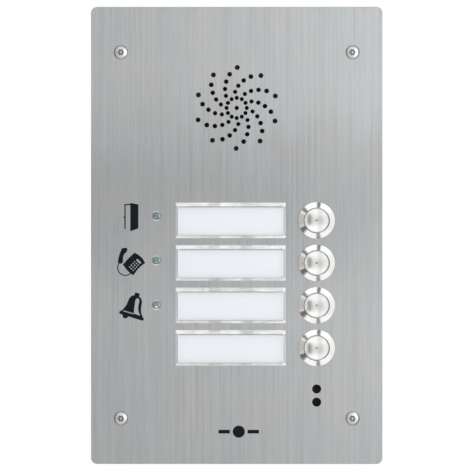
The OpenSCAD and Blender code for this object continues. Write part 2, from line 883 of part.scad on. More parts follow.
module m3_nuts() {
    color("silver") on_face() {
        at_speaker_studs() hex_nut(m3_af, stud_r + thread_gap, m3_t, -speaker_gasket_t - flange_t - clamp_t - m3_t);
        at_board_studs() hex_nut(m3_af, stud_r + thread_gap, m3_t, board_back_z - m3_t);
    }
}

module board_leds() {
    color("lightyellow") on_face() {
        for (row = rows, n = [-1, 0, 1]) at_window(row) translate([n * led_dx, 0, 0]) board_led();
        for (n = lenses) translate([lens_x, lens_y(n), 0]) board_led();
    }
}

module board_led() {
    slab(led_size[0], led_size[1], led_size[2], board_front_z);
}

// Children hang off the rear of the board at [x, y]
module on_board(place) {
    translate([place[0], place[1], board_back_z]) children();
}

module board_chips() {
    color([0.1, 0.1, 0.1]) on_face() for (i = [0:len(chip_sizes) - 1]) on_board(chip_places[i])
        slab(chip_sizes[i][0], chip_sizes[i][1], chip_sizes[i][2], -chip_sizes[i][2]);
}

module board_capacitors() {
    color("midnightblue") on_face() for (i = [0:len(capacitor_places) - 1]) on_board(capacitor_places[i]) {
        r = capacitor_rs[i];
        translate([0, 0, -capacitor_foot]) cylinder(r = r - 1, h = capacitor_foot);
        translate([0, 0, -capacitor_hs[i]]) cylinder(r = r, h = capacitor_hs[i] - capacitor_foot);
    }
}

module board_connectors() {
    color("ivory") on_face() {
        on_board(speaker_plug_at) slab(plug_size_audio[0], plug_size_audio[1], plug_size_audio[2], -plug_size_audio[2]);
        on_board(mic_plug_at) slab(plug_size_audio[0], plug_size_audio[1], plug_size_audio[2], -plug_size_audio[2]);
        on_board(button_plug_at)
            slab(button_plug_size[0], button_plug_size[1], button_plug_size[2], -button_plug_size[2]);
    }
}

module relay() {
    color("steelblue") on_face() on_board(relay_at)
        rotate([180, 0, 0]) bevelled_block(relay_size[0], relay_size[1], relay_size[2], 0.6);
}

module terminal_block() {
    w = block_ways * block_pitch;
    color("seagreen") on_face() on_board(block_at) difference() {
        slab(w, block_d, block_h, -block_h);
        for (i = [0:block_ways - 1]) translate([(i + 0.5) * block_pitch - w / 2, 0, 0]) {
            translate([0, 0.6, -block_h - cut]) cylinder(r = block_screw_r, h = 3 + cut);
            translate([0, -block_d / 2, -3.6]) rotate([90, 0, 0]) cylinder(r = block_throat_r, h = 6, center = true);
        }
    }
}

module trimmer_bodies() {
    sink = rotor_sink + rotor_pin_l + rotor_pin_gap;
    color("royalblue") on_face() for (y = [speaker_trimmer_y, mic_trimmer_y]) on_board([trimmer_x, y]) difference() {
        slab(trimmer_w, trimmer_w, trimmer_h, -trimmer_h);
        translate([0, 0, -trimmer_h - cut]) cylinder(r = rotor_r + rotor_gap, h = rotor_sink + cut);
        translate([0, 0, -trimmer_h]) cylinder(r = rotor_pin_r + rotor_pin_gap, h = sink);
    }
}

module trimmer_rotor(y) {
    color("white") on_face() on_board([trimmer_x, y]) translate([0, 0, -trimmer_h]) difference() {
        union() {
            translate([0, 0, -rotor_proud]) cylinder(r = rotor_r, h = rotor_sink + rotor_proud - rotor_pin_gap);
            cylinder(r = rotor_pin_r, h = rotor_sink + rotor_pin_l);
        }
        slab(rotor_slot_w, rotor_slot_l, rotor_slot_d + cut, -rotor_proud - cut);
    }
}

// ---- wires ----

// Two wires from each switch to the long connector
module button_wires() {
    tab_z = -barrel_l - base_l - tab_l * 0.65;
    plug_z = board_back_z - button_plug_size[2];
    color("firebrick") on_face() for (row = rows, side = [0, 1]) {
        tab_y = row_y(row) + (2 * side - 1) * tab_dy;
        plug_y = button_plug_at[1] + (3.5 - 2 * row - (1 - side)) * button_plug_pitch;
        wire([
            [button_x - tab_w / 2, tab_y, tab_z], [button_x - 12, tab_y, tab_z - 3],
            [button_plug_at[0], plug_y, plug_z - 10], [button_plug_at[0], plug_y, plug_z]
        ]);
    }
}

// The speaker's and the microphone's pairs
module audio_wires() {
    plug_z = board_back_z - plug_size_audio[2];
    tag_y = grille_y - basket_back_r - tag_out + 1.5;
    tag_z = -speaker_gasket_t - flange_t - basket_depth;
    mic_back_z = -boot_front - mic_l;
    color("black") on_face() for (side = sides) {
        wire([
            [side * 4, tag_y, tag_z], [side * 4, tag_y, tag_z - 12],
            [side * 1.25, speaker_plug_at[1], plug_z - 14], [side * 1.25, speaker_plug_at[1], plug_z]
        ]);
        wire([
            [button_x + side * 1.5, mic_upper_y - mic_pitch / 2, mic_back_z],
            [button_x + side * 1.5, mic_upper_y - mic_pitch / 2, mic_back_z - 14],
            [mic_plug_at[0] + side * 1.25, mic_plug_at[1], plug_z - 12],
            [mic_plug_at[0] + side * 1.25, mic_plug_at[1], plug_z]
        ]);
    }
}

// ---- wall box ----

module back_box() {
    color("gainsboro") on_face() difference() {
        translate([0, 0, box_back_z]) linear_extrude(box_depth) rounded_rect(box_w, box_h, box_corner_r);
        translate([0, 0, box_floor_z]) linear_extrude(box_depth) inner_outline();
        for (x = sides, y = sides) translate([x * fixing_dx / 2, y * fixing_dz / 2, box_back_z - cut])
            cylinder(r = fixing_r, h = box_wall + 2 * cut);
        translate([0, -box_h / 2, entry_z]) rotate([90, 0, 0]) cylinder(r = entry_r, h = 4 * box_wall, center = true);
        translate([earth_x, -box_h / 2, entry_z]) rotate([90, 0, 0])
            cylinder(r = earth_r + earth_gap, h = 4 * box_wall, center = true);
        for (x = [-90, 90], y = knockout_y) translate([sign(x) * box_w / 2, y, entry_z]) rotate([0, -x, 0]) knockout();
        for (x = knockout_x) translate([x, box_h / 2, entry_z]) rotate([90, 0, 0]) knockout();
    }
}

module inner_outline() {
    rounded_rect(inner_w, inner_h, box_corner_r - box_wall);
}

// Triangular lugs welded across the box's corners, level with its rim, each with a threaded boss
module box_lugs() {
    color("silver") on_face() difference() {
        union() {
            translate([0, 0, box_front_z - lug_t]) linear_extrude(lug_t) intersection() {
                inner_outline();
                for (x = sides, y = sides) scale([x, y]) translate([inner_w / 2, inner_h / 2])
                    polygon([[0, 0], [-lug_leg, 0], [0, -lug_leg]]);
            }
            at_screws() translate([0, 0, box_front_z - lug_t - boss_l])
                cylinder(r = boss_af / sqrt(3), h = boss_l, $fn = 6);
        }
        at_screws() translate([0, 0, box_front_z - lug_t - boss_l - cut])
            cylinder(r = boss_bore_r, h = lug_t + boss_l + 2 * cut);
    }
}

// A groove in the outer face around a disc that can be knocked out, cut into z > 0
module knockout() {
    translate([0, 0, -cut]) difference() {
        cylinder(r = knockout_r, h = knockout_depth + cut);
        translate([0, 0, -cut]) cylinder(r = knockout_r - knockout_groove, h = knockout_depth + 3 * cut);
    }
}

module cable_grommet() {
    neck = entry_r - grommet_neck_gap;
    color("dimgray") on_face() translate([0, -box_h / 2, entry_z]) rotate([-90, 0, 0]) rotate_extrude() polygon([
        [cable_r, -grommet_lip], [neck + 1, -grommet_lip], [grommet_r, -grommet_lip / 2], [grommet_r, 0], [neck, 0],
        [neck, box_wall], [grommet_r, box_wall], [grommet_r, box_wall + grommet_lip / 2],
        [neck + 1, box_wall + grommet_lip], [cable_r, box_wall + grommet_lip]
    ]);
}

module earth_screw() {
    color("goldenrod") on_face() translate([earth_x, -box_h / 2 + box_wall, entry_z]) rotate([-90, 0, 0]) difference() {
        union() {
            translate([0, 0, -box_wall - earth_tail]) cylinder(r = earth_r, h = box_wall + earth_tail);
            cylinder(r = earth_washer_r, h = earth_washer_t);
            translate([0, 0, earth_washer_t]) cylinder(r = earth_head_r, h = earth_head_t);
        }
        for (a = [0, 90]) rotate(a) slab(1, 5, 1.2 + cut, earth_washer_t + earth_head_t - 1.2);
    }
}

// ---- nodes ----

front_plate();
plate_studs();
pictogram_inlays();
maker_mark();
for (row = rows) {
    name_window(row);
    name_card(row);
    button_housing(row);
    call_button(row);
    button_spring(row);
}
for (n = lenses) status_lens(n);
name_diffusers();
label_reflector();
button_seals();
button_nuts();
switch_bases();
switch_terminals();
speaker_frame();
speaker_cone();
speaker_magnet();
speaker_gasket();
speaker_clamp();
microphone_capsule();
microphone_boot();
main_board();
board_spacers();
board_leds();
board_chips();
board_capacitors();
board_connectors();
relay();
terminal_block();
trimmer_bodies();
trimmer_rotor(speaker_trimmer_y);  // speaker_trimmer
trimmer_rotor(mic_trimmer_y);  // microphone_trimmer
m3_nuts();
button_wires();
audio_wires();
security_screws();
plate_gasket();
back_box();
box_lugs();
cable_grommet();
earth_screw();
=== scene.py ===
"""The looks of the door intercom panel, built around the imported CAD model."""

import json
import math

import bmesh
import bpy
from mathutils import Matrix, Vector


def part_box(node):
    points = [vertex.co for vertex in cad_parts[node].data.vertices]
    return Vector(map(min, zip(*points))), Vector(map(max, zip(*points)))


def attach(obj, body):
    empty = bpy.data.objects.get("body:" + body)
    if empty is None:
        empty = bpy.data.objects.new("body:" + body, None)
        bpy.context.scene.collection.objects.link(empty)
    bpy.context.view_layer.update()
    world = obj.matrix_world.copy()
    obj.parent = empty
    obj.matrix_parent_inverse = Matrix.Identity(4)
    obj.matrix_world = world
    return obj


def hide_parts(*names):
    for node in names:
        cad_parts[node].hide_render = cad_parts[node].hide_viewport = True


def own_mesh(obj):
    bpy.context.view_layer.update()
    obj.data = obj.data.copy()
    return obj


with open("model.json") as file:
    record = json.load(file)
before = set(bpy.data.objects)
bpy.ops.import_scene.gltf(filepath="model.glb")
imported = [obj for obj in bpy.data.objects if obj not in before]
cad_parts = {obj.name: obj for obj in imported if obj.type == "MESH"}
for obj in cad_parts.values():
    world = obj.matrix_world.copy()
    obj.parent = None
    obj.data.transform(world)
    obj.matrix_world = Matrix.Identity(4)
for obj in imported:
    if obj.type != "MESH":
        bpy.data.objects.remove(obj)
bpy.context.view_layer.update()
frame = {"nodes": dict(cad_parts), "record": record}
NODES = frame["nodes"]
SLOT_OF = {p["node"]: p["material_slot"] for p in frame["record"]["subparts"]}
COLOURS = {m["slot"]: m["base_color"] for m in frame["record"]["materials"]}
MM = 0.001

# Where things are on the panel, in mm
ROWS = range(4)
ROW_TOP = 7.4
ROW_PITCH = 21.0
BUTTON_X = 39.5
GRILLE_Y = 63.0
WINDOW_X = -3.0
LENSES = ("lens_upper", "lens_middle", "lens_lower")
GLINT_DROP = 1.0
WINDOW_DROP = 0.35
HOOK_DX = 8.0
PLATE_REAR = -49.5
PLATE_T = 2.5
SCREW_X, SCREW_Y = 57.25, 90.5
SPEAKER_STUD = 20.5
BOARD_STUDS_X, BOARD_STUDS_Y = (-54, 20), (-76, 24)


def at(x, y, z):
    """Turns mm of the face frame (x right, y up, z forward from the plate's rear) into metres of the row."""
    return Vector((x, PLATE_REAR - z, y)) * MM


# ---- node graphs ----


class Graph:
    """A short way to write a node tree. Most calls add one node and return its output socket."""

    def __init__(self, tree):
        self.tree = tree
        tree.nodes.clear()

    def put(self, socket, value):
        if isinstance(value, bpy.types.NodeSocket):
            self.tree.links.new(value, socket)
        elif socket.type == "RGBA" and not hasattr(value, "__len__"):
            socket.default_value = (value, value, value, 1)
        elif socket.type == "RGBA" and len(value) == 3:
            socket.default_value = (*value, 1)
        elif socket.type == "VECTOR" and not hasattr(value, "__len__"):
            socket.default_value = (value, value, value)
        else:
            socket.default_value = value

    def add(self, kind, inputs=(), out=0, **settings):
        node = self.tree.nodes.new("ShaderNode" + kind)
        for key, value in settings.items():
            setattr(node, key, value)
        pairs = inputs.items() if isinstance(inputs, dict) else enumerate(inputs)
        for key, value in pairs:
            self.put(node.inputs[key], value)
        return node.outputs[out]

    def math(self, operation, *values, clamp=False):
        return self.add("Math", values, operation=operation, use_clamp=clamp)

    def vector(self, operation, *values):
        return self.add("VectorMath", values, operation=operation)

    def grey(self, value):
        return self.add("CombineColor", (value, value, value))

    def distance(self, a, b):
        """The length of the vector (a, b)."""
        return self.math("SQRT", self.math("ADD", self.math("MULTIPLY", a, a), self.math("MULTIPLY", b, b)))

    def object_point(self, scale=1.0):
        """Object coordinates in mm, times scale, which may be a triple."""
        point = self.add("TexCoord", out="Object")
        factor = [1000 * s for s in scale] if hasattr(scale, "__len__") else [1000 * scale] * 3
        return self.vector("MULTIPLY", point, factor)

    def noise(self, scale=1.0, detail=3.0, roughness=0.5, distortion=0.0, point=None):
        """Noise from 0 to 1, with about one blob in 1/scale mm."""
        where = point if point is not None else self.object_point(scale)
        inputs = {
            "Vector": where, "Scale": 1.0, "Detail": detail, "Roughness": roughness, "Distortion": distortion,
        }
        return self.add("TexNoise", inputs, out="Fac", noise_dimensions="3D")

    def cells(self, scale, out="Color", point=None):
        where = point if point is not None else self.object_point(scale)
        return self.add("TexVoronoi", {"Vector": where, "Scale": 1.0}, out=out)

    def span(self, value, low, high, to_low=0.0, to_high=1.0, smooth=False):
        kind = "SMOOTHSTEP" if smooth else "LINEAR"
        inputs = {"Value": value, "From Min": low, "From Max": high, "To Min": to_low, "To Max": to_high}
        return self.add("MapRange", inputs, interpolation_type=kind)

    def mix(self, factor, a, b, blend="MIX"):
        inputs = {"Factor": factor, 6: a, 7: b}
        return self.add("Mix", inputs, out=2, data_type="RGBA", blend_type=blend)

    def ramp(self, factor, *stops):
        node = self.tree.nodes.new("ShaderNodeValToRGB")
        elements = node.color_ramp.elements
        while len(elements) < len(stops):
            elements.new(0.5)
        for element, (position, colour) in zip(elements, stops):
            element.position = position
            element.color = (*colour, 1) if hasattr(colour, "__len__") else (colour, colour, colour, 1)
        self.put(node.inputs[0], factor)
        return node.outputs[0]

    def from_row(self, z, drop=0.0):
        """The height in mm above or below the nearest row of windows and buttons."""
        shifted = self.math("SUBTRACT", z, ROW_TOP - drop + ROW_PITCH / 2)
        return self.math("SUBTRACT", self.math("FLOORED_MODULO", shifted, ROW_PITCH), ROW_PITCH / 2)

    def crevice(self, reach_mm, low):
        """From low, deep in a recess, to 1 in the open: painted shade in recesses, with the grime that they
        hold.
        """
        open_sky = self.add("AmbientOcclusion", {"Distance": reach_mm * MM}, out="AO", samples=8)
        return self.span(open_sky, 0.25, 0.80, low, 1.0)

    def bump(self, height, depth_mm, strength=1.0):
        return self.add("Bump", {"Height": height, "Distance": depth_mm * MM, "Strength": strength})

    def split(self, vector):
        node = self.tree.nodes.new("ShaderNodeSeparateXYZ")
        self.put(node.inputs[0], vector)
        return node.outputs

    def principled(self, **sockets):
        """Ends the tree with one Principled shader. Socket names are written with _ for spaces."""
        shader = self.tree.nodes.new("ShaderNodeBsdfPrincipled")
        for key, value in sockets.items():
            self.put(shader.inputs[key.replace("_", " ")], value)
        output = self.tree.nodes.new("ShaderNodeOutputMaterial")
        self.tree.links.new(shader.outputs[0], output.inputs[0])


def material_graph(name):
    material = bpy.data.materials.new(name)
    material.use_nodes = True
    return Graph(material.node_tree)


def shade(colour, factor):
    return [min(1.0, c * factor) for c in colour[:3]]


def moulded(name, roughness, grain, depth, mottle=0.06, colour=None, **sockets):
    """A moulded plastic or rubber: fine surface grain, faint cloudiness, and gloss that varies a little."""
    g = material_graph(name)
    base = colour or COLOURS[name][:3]
    clouds = g.noise(0.12, 3)
    fine = g.noise(grain, 4, 0.6)
    tone = g.mix(clouds, shade(base, 1 - mottle), shade(base, 1 + mottle))
    gloss = g.span(fine, 0.3, 0.7, roughness - 0.05, roughness + 0.07)
    g.principled(
        Base_Color=tone, Roughness=gloss, Normal=g.bump(fine, depth), **sockets,
    )


def bare_metal(name, roughness, grain, depth, mottle=0.08, tint=None):
    """A bare or plated metal: soft staining, fine marks that run along the smallest grain scale."""
    g = material_graph(name)
    base = COLOURS[name][:3]
    stain = g.noise(0.15, 4, 0.6)
    marks = g.noise(grain, 5, 0.65)
    tone = g.mix(stain, shade(base, 1 - mottle), shade(tint or base, 1 + mottle))
    gloss = g.span(marks, 0.3, 0.7, roughness * 0.75, roughness * 1.3)
    g.principled(
        Base_Color=tone, Metallic=1.0, Roughness=gloss, Normal=g.bump(marks, depth),
    )


# ---- materials ----


def brushed_plate():
    """Stainless sheet with a vertical brushed grain: long fine scratches, faint wide streaks, soft clouding,
    and painted light that makes the tone a little brighter towards the sheet's upper and lower edges."""
    g = material_graph("plate_steel")
    point = g.object_point()
    fine = g.noise(point=g.vector("MULTIPLY", point, (9.0, 9.0, 0.10)), detail=4, roughness=0.7)
    hair = g.noise(point=g.vector("MULTIPLY", point, (22.0, 22.0, 0.25)), detail=2, roughness=0.6)
    wide = g.noise(point=g.vector("MULTIPLY", point, (0.9, 0.9, 0.012)), detail=3, roughness=0.65)
    cloud = g.noise(point=g.vector("MULTIPLY", point, (0.045, 0.045, 0.03)), detail=3, roughness=0.55)
    streak = g.math("ADD", g.math("MULTIPLY", fine, 0.55), g.math("MULTIPLY", wide, 0.45))
    tone = g.ramp(streak, (0.36, (0.300, 0.303, 0.307)), (0.64, (0.392, 0.395, 0.399)))
    tone = g.mix(g.span(cloud, 0.4, 0.6), tone, (0.955, 0.995, 1.0), "MULTIPLY")
    # Painted light: the tone is raised towards the top and the bottom of the sheet, with a cloudy edge.
    height = g.math("ADD", g.split(point)[2], g.span(cloud, 0, 1, -25, 25))
    painted_light_gradient = g.math("MAXIMUM", g.span(height, 22, 80, 0.94, 1.14, smooth=True),
                    g.span(height, -50, 22, 1.09, 0.94, smooth=True))
    tone = g.mix(1.0, tone, g.grey(painted_light_gradient), "MULTIPLY")
    rough = g.span(fine, 0.3, 0.7, 0.33, 0.43)
    scratches = g.math("ADD", fine, g.math("MULTIPLY", hair, 0.5))
    g.principled(
        Base_Color=tone, Metallic=1.0, Roughness=rough, Anisotropic=0.7,
        Tangent=g.add("Tangent", direction_type="RADIAL", axis="Z"),
        Normal=g.bump(scratches, 0.0035),
    )


def turned_steel():
    """Polished buttons and bezels: the faint rings that a lathe leaves round each button's own axis."""
    g = material_graph("polished_steel")
    axes = g.split(g.object_point())
    x = g.math("SUBTRACT", axes[0], BUTTON_X)
    z = g.from_row(axes[2])
    radius = g.distance(x, z)
    ring_point = g.add("CombineXYZ", (g.math("MULTIPLY", radius, 9.0), g.math("MULTIPLY", axes[1], 9.0), 0.0))
    rings = g.noise(point=ring_point, detail=4, roughness=0.7)
    wear = g.noise(0.5, 4, 0.6)
    tone = g.mix(wear, (0.82, 0.82, 0.81), (0.90, 0.90, 0.89))
    # Painted shade: the colour is darkened in recesses, with some grime, and in a spot at the dimple in each
    # cap's centre.
    dimple_shade = g.span(radius, 0.35, 0.6, 0.45, 1.0, smooth=True)
    shade_and_dirt = g.math("MULTIPLY", g.crevice(0.5, 0.72), dimple_shade)
    tone = g.mix(1.0, tone, g.grey(shade_and_dirt), "MULTIPLY")
    g.principled(
        Base_Color=tone, Metallic=1.0, Roughness=g.span(rings, 0.3, 0.7, 0.09, 0.17),
        Normal=g.bump(rings, 0.0012),
    )


def lens_rim_painted_light():
    """The countersinks of the light holes, with painted light: bright where they face up or down and painted
    darker at the sides.
    """
    g = material_graph("lens_rim_painted_light")
    sideways = g.math("ABSOLUTE", g.split(g.add("TexCoord", out="Normal"))[0])
    marks = g.noise((9.0, 9.0, 1.0), 4, 0.65)
    # Painted light: the tone follows which way each face looks.
    tone = g.mix(g.span(sideways, 0.22, 0.55, smooth=True), (0.84, 0.85, 0.86), (0.40, 0.415, 0.42))
    g.principled(
        Base_Color=tone, Metallic=1.0, Roughness=g.span(marks, 0.3, 0.7, 0.22, 0.36),
        Normal=g.bump(marks, 0.002),
    )


def security_screw():
    """Stainless screws: painted shade with some grime in the star recess, and a ring of painted shade round
    each raised head, darkest at the sides.
    """
    g = material_graph("screw_steel")
    axes = g.split(g.object_point())
    x = g.math("SUBTRACT", g.math("ABSOLUTE", axes[0]), SCREW_X)
    z = g.math("SUBTRACT", g.math("ABSOLUTE", axes[2]), SCREW_Y)
    radius = g.distance(x, z)
    # Painted shade: a dark ring round the edge of each head, strongest at its left and right.
    sideways = g.math("DIVIDE", g.math("ABSOLUTE", x), g.math("MAXIMUM", radius, 0.01))
    painted_rim_shade = g.math("MULTIPLY", g.span(radius, 2.6, 3.0, smooth=True), g.span(sideways, 0.1, 0.8, 0.35, 0.75))
    marks = g.noise(4.0, 5, 0.65)
    tone = g.mix(g.noise(0.4, 4, 0.6), (0.50, 0.50, 0.51), (0.58, 0.58, 0.59))
    tone = g.mix(painted_rim_shade, tone, (0.10, 0.10, 0.10))
    # Painted shade, with some grime: the star recess is darkened almost to black.
    tone = g.mix(1.0, tone, g.grey(g.crevice(2.4, 0.02)), "MULTIPLY")
    g.principled(
        Base_Color=tone, Metallic=1.0, Roughness=g.span(marks, 0.3, 0.7, 0.32, 0.46),
        Normal=g.bump(marks, 0.003),
    )


def galvanised():
    """Hot-dip spangle: crystals a few mm across that each have their own tone and gloss."""
    g = material_graph("galvanised_sheet")
    warp = g.noise(0.5, 2)
    shift = g.vector("MULTIPLY", g.add("CombineXYZ", (warp, warp, warp)), 0.6)
    point = g.vector("ADD", g.object_point(0.30), shift)
    crystal = g.split(g.cells(1.0, point=point))
    frost = g.noise(point=g.vector("MULTIPLY", point, (14.0, 14.0, 14.0)), detail=4, roughness=0.65)
    stain = g.noise(0.02, 4, 0.6)
    zinc = ((0.0, (0.40, 0.415, 0.43)), (0.5, (0.45, 0.465, 0.475)), (1.0, (0.51, 0.525, 0.53)))
    tone = g.ramp(crystal[0], *zinc)
    tone = g.mix(g.span(frost, 0.3, 0.7, 0.0, 0.25), tone, (0.56, 0.57, 0.58))
    tone = g.mix(g.span(stain, 0.45, 0.65, 0.0, 0.45), tone, (0.36, 0.365, 0.365))
    rough = g.math("ADD", g.span(crystal[1], 0, 1, 0.34, 0.50), g.span(frost, 0.3, 0.7, -0.04, 0.06))
    g.principled(
        Base_Color=tone, Metallic=1.0, Roughness=rough, Normal=g.bump(frost, 0.006),
    )


def clear_cover():
    """Clear polycarbonate: the face is see-through, and the bevels and the wall round the card carry painted
    light. Above and below the card they are painted opaque and white, a little uneven and dimmer over the
    hooks; the side bevels are painted fainter, and a thin painted highlight runs at each end of the card."""
    g = material_graph("clear_cover")
    normal = g.split(g.add("TexCoord", out="Normal"))
    axes = g.split(g.object_point())
    from_middle = g.math("ABSOLUTE", g.math("SUBTRACT", axes[0], WINDOW_X))
    from_card = g.math("ABSOLUTE", g.from_row(axes[2], WINDOW_DROP))
    wall = g.span(from_card, 7.18, 7.28)
    # Painted highlight: a thin bright line at each end of the card.
    end_wall = g.math("MULTIPLY", g.span(from_middle, 25.70, 25.80), g.span(from_middle, 26.00, 26.15, 1, 0))
    upright = g.math("MAXIMUM", g.span(g.math("ABSOLUTE", normal[2]), 0.05, 0.6), wall)
    across = g.span(g.math("ABSOLUTE", normal[0]), 0.05, 0.6, 0.0, 0.30)
    scuffs = g.noise((1.5, 1.5, 0.4), 5, 0.7)
    from_hook = g.math("ABSOLUTE", g.math("SUBTRACT", from_middle, HOOK_DX))
    hook_dimming = g.span(from_hook, 2.0, 4.0, 0.80, 1.0, smooth=True)
    wave = g.span(g.noise((0.16, 0.16, 0.5), 2, distortion=0.6), 0.3, 0.7, 0.72, 1.04)
    # Painted light: where the faces look up or down, the cover is painted opaque and white.
    painted_glow_tone = g.math("MULTIPLY", g.math("MULTIPLY", hook_dimming, wave), 0.80)
    glow = g.math("ADD", g.math("MULTIPLY", upright, 0.88), g.math("MULTIPLY", end_wall, 0.6))
    alpha = g.math("ADD", g.math("ADD", glow, across), 0.06, clamp=True)
    tone = g.mix(upright, (0.93, 0.95, 0.97), g.grey(painted_glow_tone))
    g.principled(
        Base_Color=tone, Alpha=alpha, Roughness=g.span(scuffs, 0.3, 0.7, 0.03, 0.10), IOR=1.58,
        Normal=g.bump(scuffs, 0.001),
    )


def paper_card():
    """White card with a soft felt texture and a few fibres."""
    g = material_graph("card_paper")
    felt = g.noise(5.0, 5, 0.7)
    fibres = g.noise((0.8, 0.8, 7.0), 4, 0.6, 1.0)
    tone = g.mix(g.span(felt, 0.3, 0.7), (0.625, 0.65, 0.69), (0.68, 0.705, 0.74))
    tone = g.mix(g.span(fibres, 0.62, 0.75, 0, 0.15), tone, (0.54, 0.56, 0.60))
    g.principled(
        Base_Color=tone, Roughness=g.span(felt, 0.3, 0.7, 0.75, 0.9), Normal=g.bump(felt, 0.012),
    )


def lens(name, colour, glint):
    """A smoked light pipe, with a painted highlight: a bright spot a little below the middle of its face."""
    g = material_graph(name)
    swirl = g.noise(1.2, 3)
    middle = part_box("status_lens_" + str(LENSES.index(name) + 1))
    centre = [(low + high) / 2 / MM for low, high in zip(*middle)]
    axes = g.split(g.object_point())
    dx = g.math("SUBTRACT", axes[0], centre[0])
    dz = g.math("SUBTRACT", axes[2], centre[2] - GLINT_DROP)
    away = g.distance(dx, dz)
    # Painted highlight: a bright spot a little below the lens's centre.
    painted_glint = g.span(away, 0.25, 0.75, glint, 0.0, smooth=True)
    body = g.mix(g.span(swirl, 0.35, 0.65), shade(colour, 0.72), shade(colour, 1.3))
    g.principled(
        Base_Color=g.mix(painted_glint, body, (0.85, 0.85, 0.85)), Roughness=g.span(swirl, 0.3, 0.7, 0.10, 0.2),
        IOR=1.55, Coat_Weight=0.4, Coat_Roughness=0.06, Normal=g.bump(swirl, 0.004),
    )


def cellular(name):
    """Closed-cell foam: open bubbles cut through at the skin, with painted shade darkening each bubble's pit.
    """
    g = material_graph(name)
    base = COLOURS[name][:3]
    bubble = g.cells(2.4, out="Distance")
    pits = g.span(bubble, 0.05, 0.5, smooth=True)
    # Painted shade: the pits are darker than the skin round them.
    tone = g.mix(pits, shade(base, 0.5), shade(base, 1.8))
    g.principled(
        Base_Color=tone, Roughness=0.92, Normal=g.bump(pits, 0.12, 0.8),
    )


def board():
    """Green solder resist over glass weave."""
    g = material_graph("board_laminate")
    axes = g.split(g.object_point(9.0))
    weave = g.math("MULTIPLY", g.math("SINE", axes[0]), g.math("SINE", axes[2]))
    cloud = g.noise(0.05, 4)
    tone = g.mix(cloud, (0.010, 0.095, 0.038), (0.016, 0.125, 0.05))
    tone = g.mix(g.span(weave, -1, 1, 0, 0.15), tone, (0.03, 0.2, 0.09))
    g.principled(
        Base_Color=tone, Roughness=g.span(weave, -1, 1, 0.26, 0.34), Specular_IOR_Level=0.55,
        Normal=g.bump(weave, 0.003),
    )


def cone_paper():
    """Pressed black paper: fibres and faint rings round the cone's axis."""
    g = material_graph("speaker_paper")
    axes = g.split(g.object_point())
    z = g.math("SUBTRACT", axes[2], GRILLE_Y)
    radius = g.distance(axes[0], z)
    rings = g.math("SINE", g.math("MULTIPLY", radius, 5.0))
    fibre = g.noise((3, 3, 3), 5, 0.7, 1.5)
    tone = g.mix(g.span(fibre, 0.35, 0.7), (0.022, 0.022, 0.024), (0.10, 0.10, 0.105))
    height = g.math("ADD", g.math("MULTIPLY", rings, 0.25), fibre)
    g.principled(
        Base_Color=tone, Roughness=0.8, Normal=g.bump(height, 0.05),
    )


def capsule():
    """The microphone capsule: a satin can with black felt over its front."""
    g = material_graph("capsule_metal")
    depth = g.math("SUBTRACT", g.split(g.object_point())[1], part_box("microphone_capsule")[0].y / MM)
    felt = g.span(depth, 0.02, 0.06, 1, 0)
    fibre = g.noise(9.0, 5, 0.8)
    base = COLOURS["capsule_metal"][:3]
    can = g.mix(g.noise(0.4, 4), shade(base, 0.9), shade(base, 1.1))
    g.principled(
        Base_Color=g.mix(felt, can, g.mix(fibre, (0.010, 0.010, 0.012), (0.05, 0.05, 0.055))),
        Metallic=g.math("SUBTRACT", 1.0, felt), Roughness=g.mix(felt, 0.34, 0.95), Normal=g.bump(fibre, 0.01),
    )


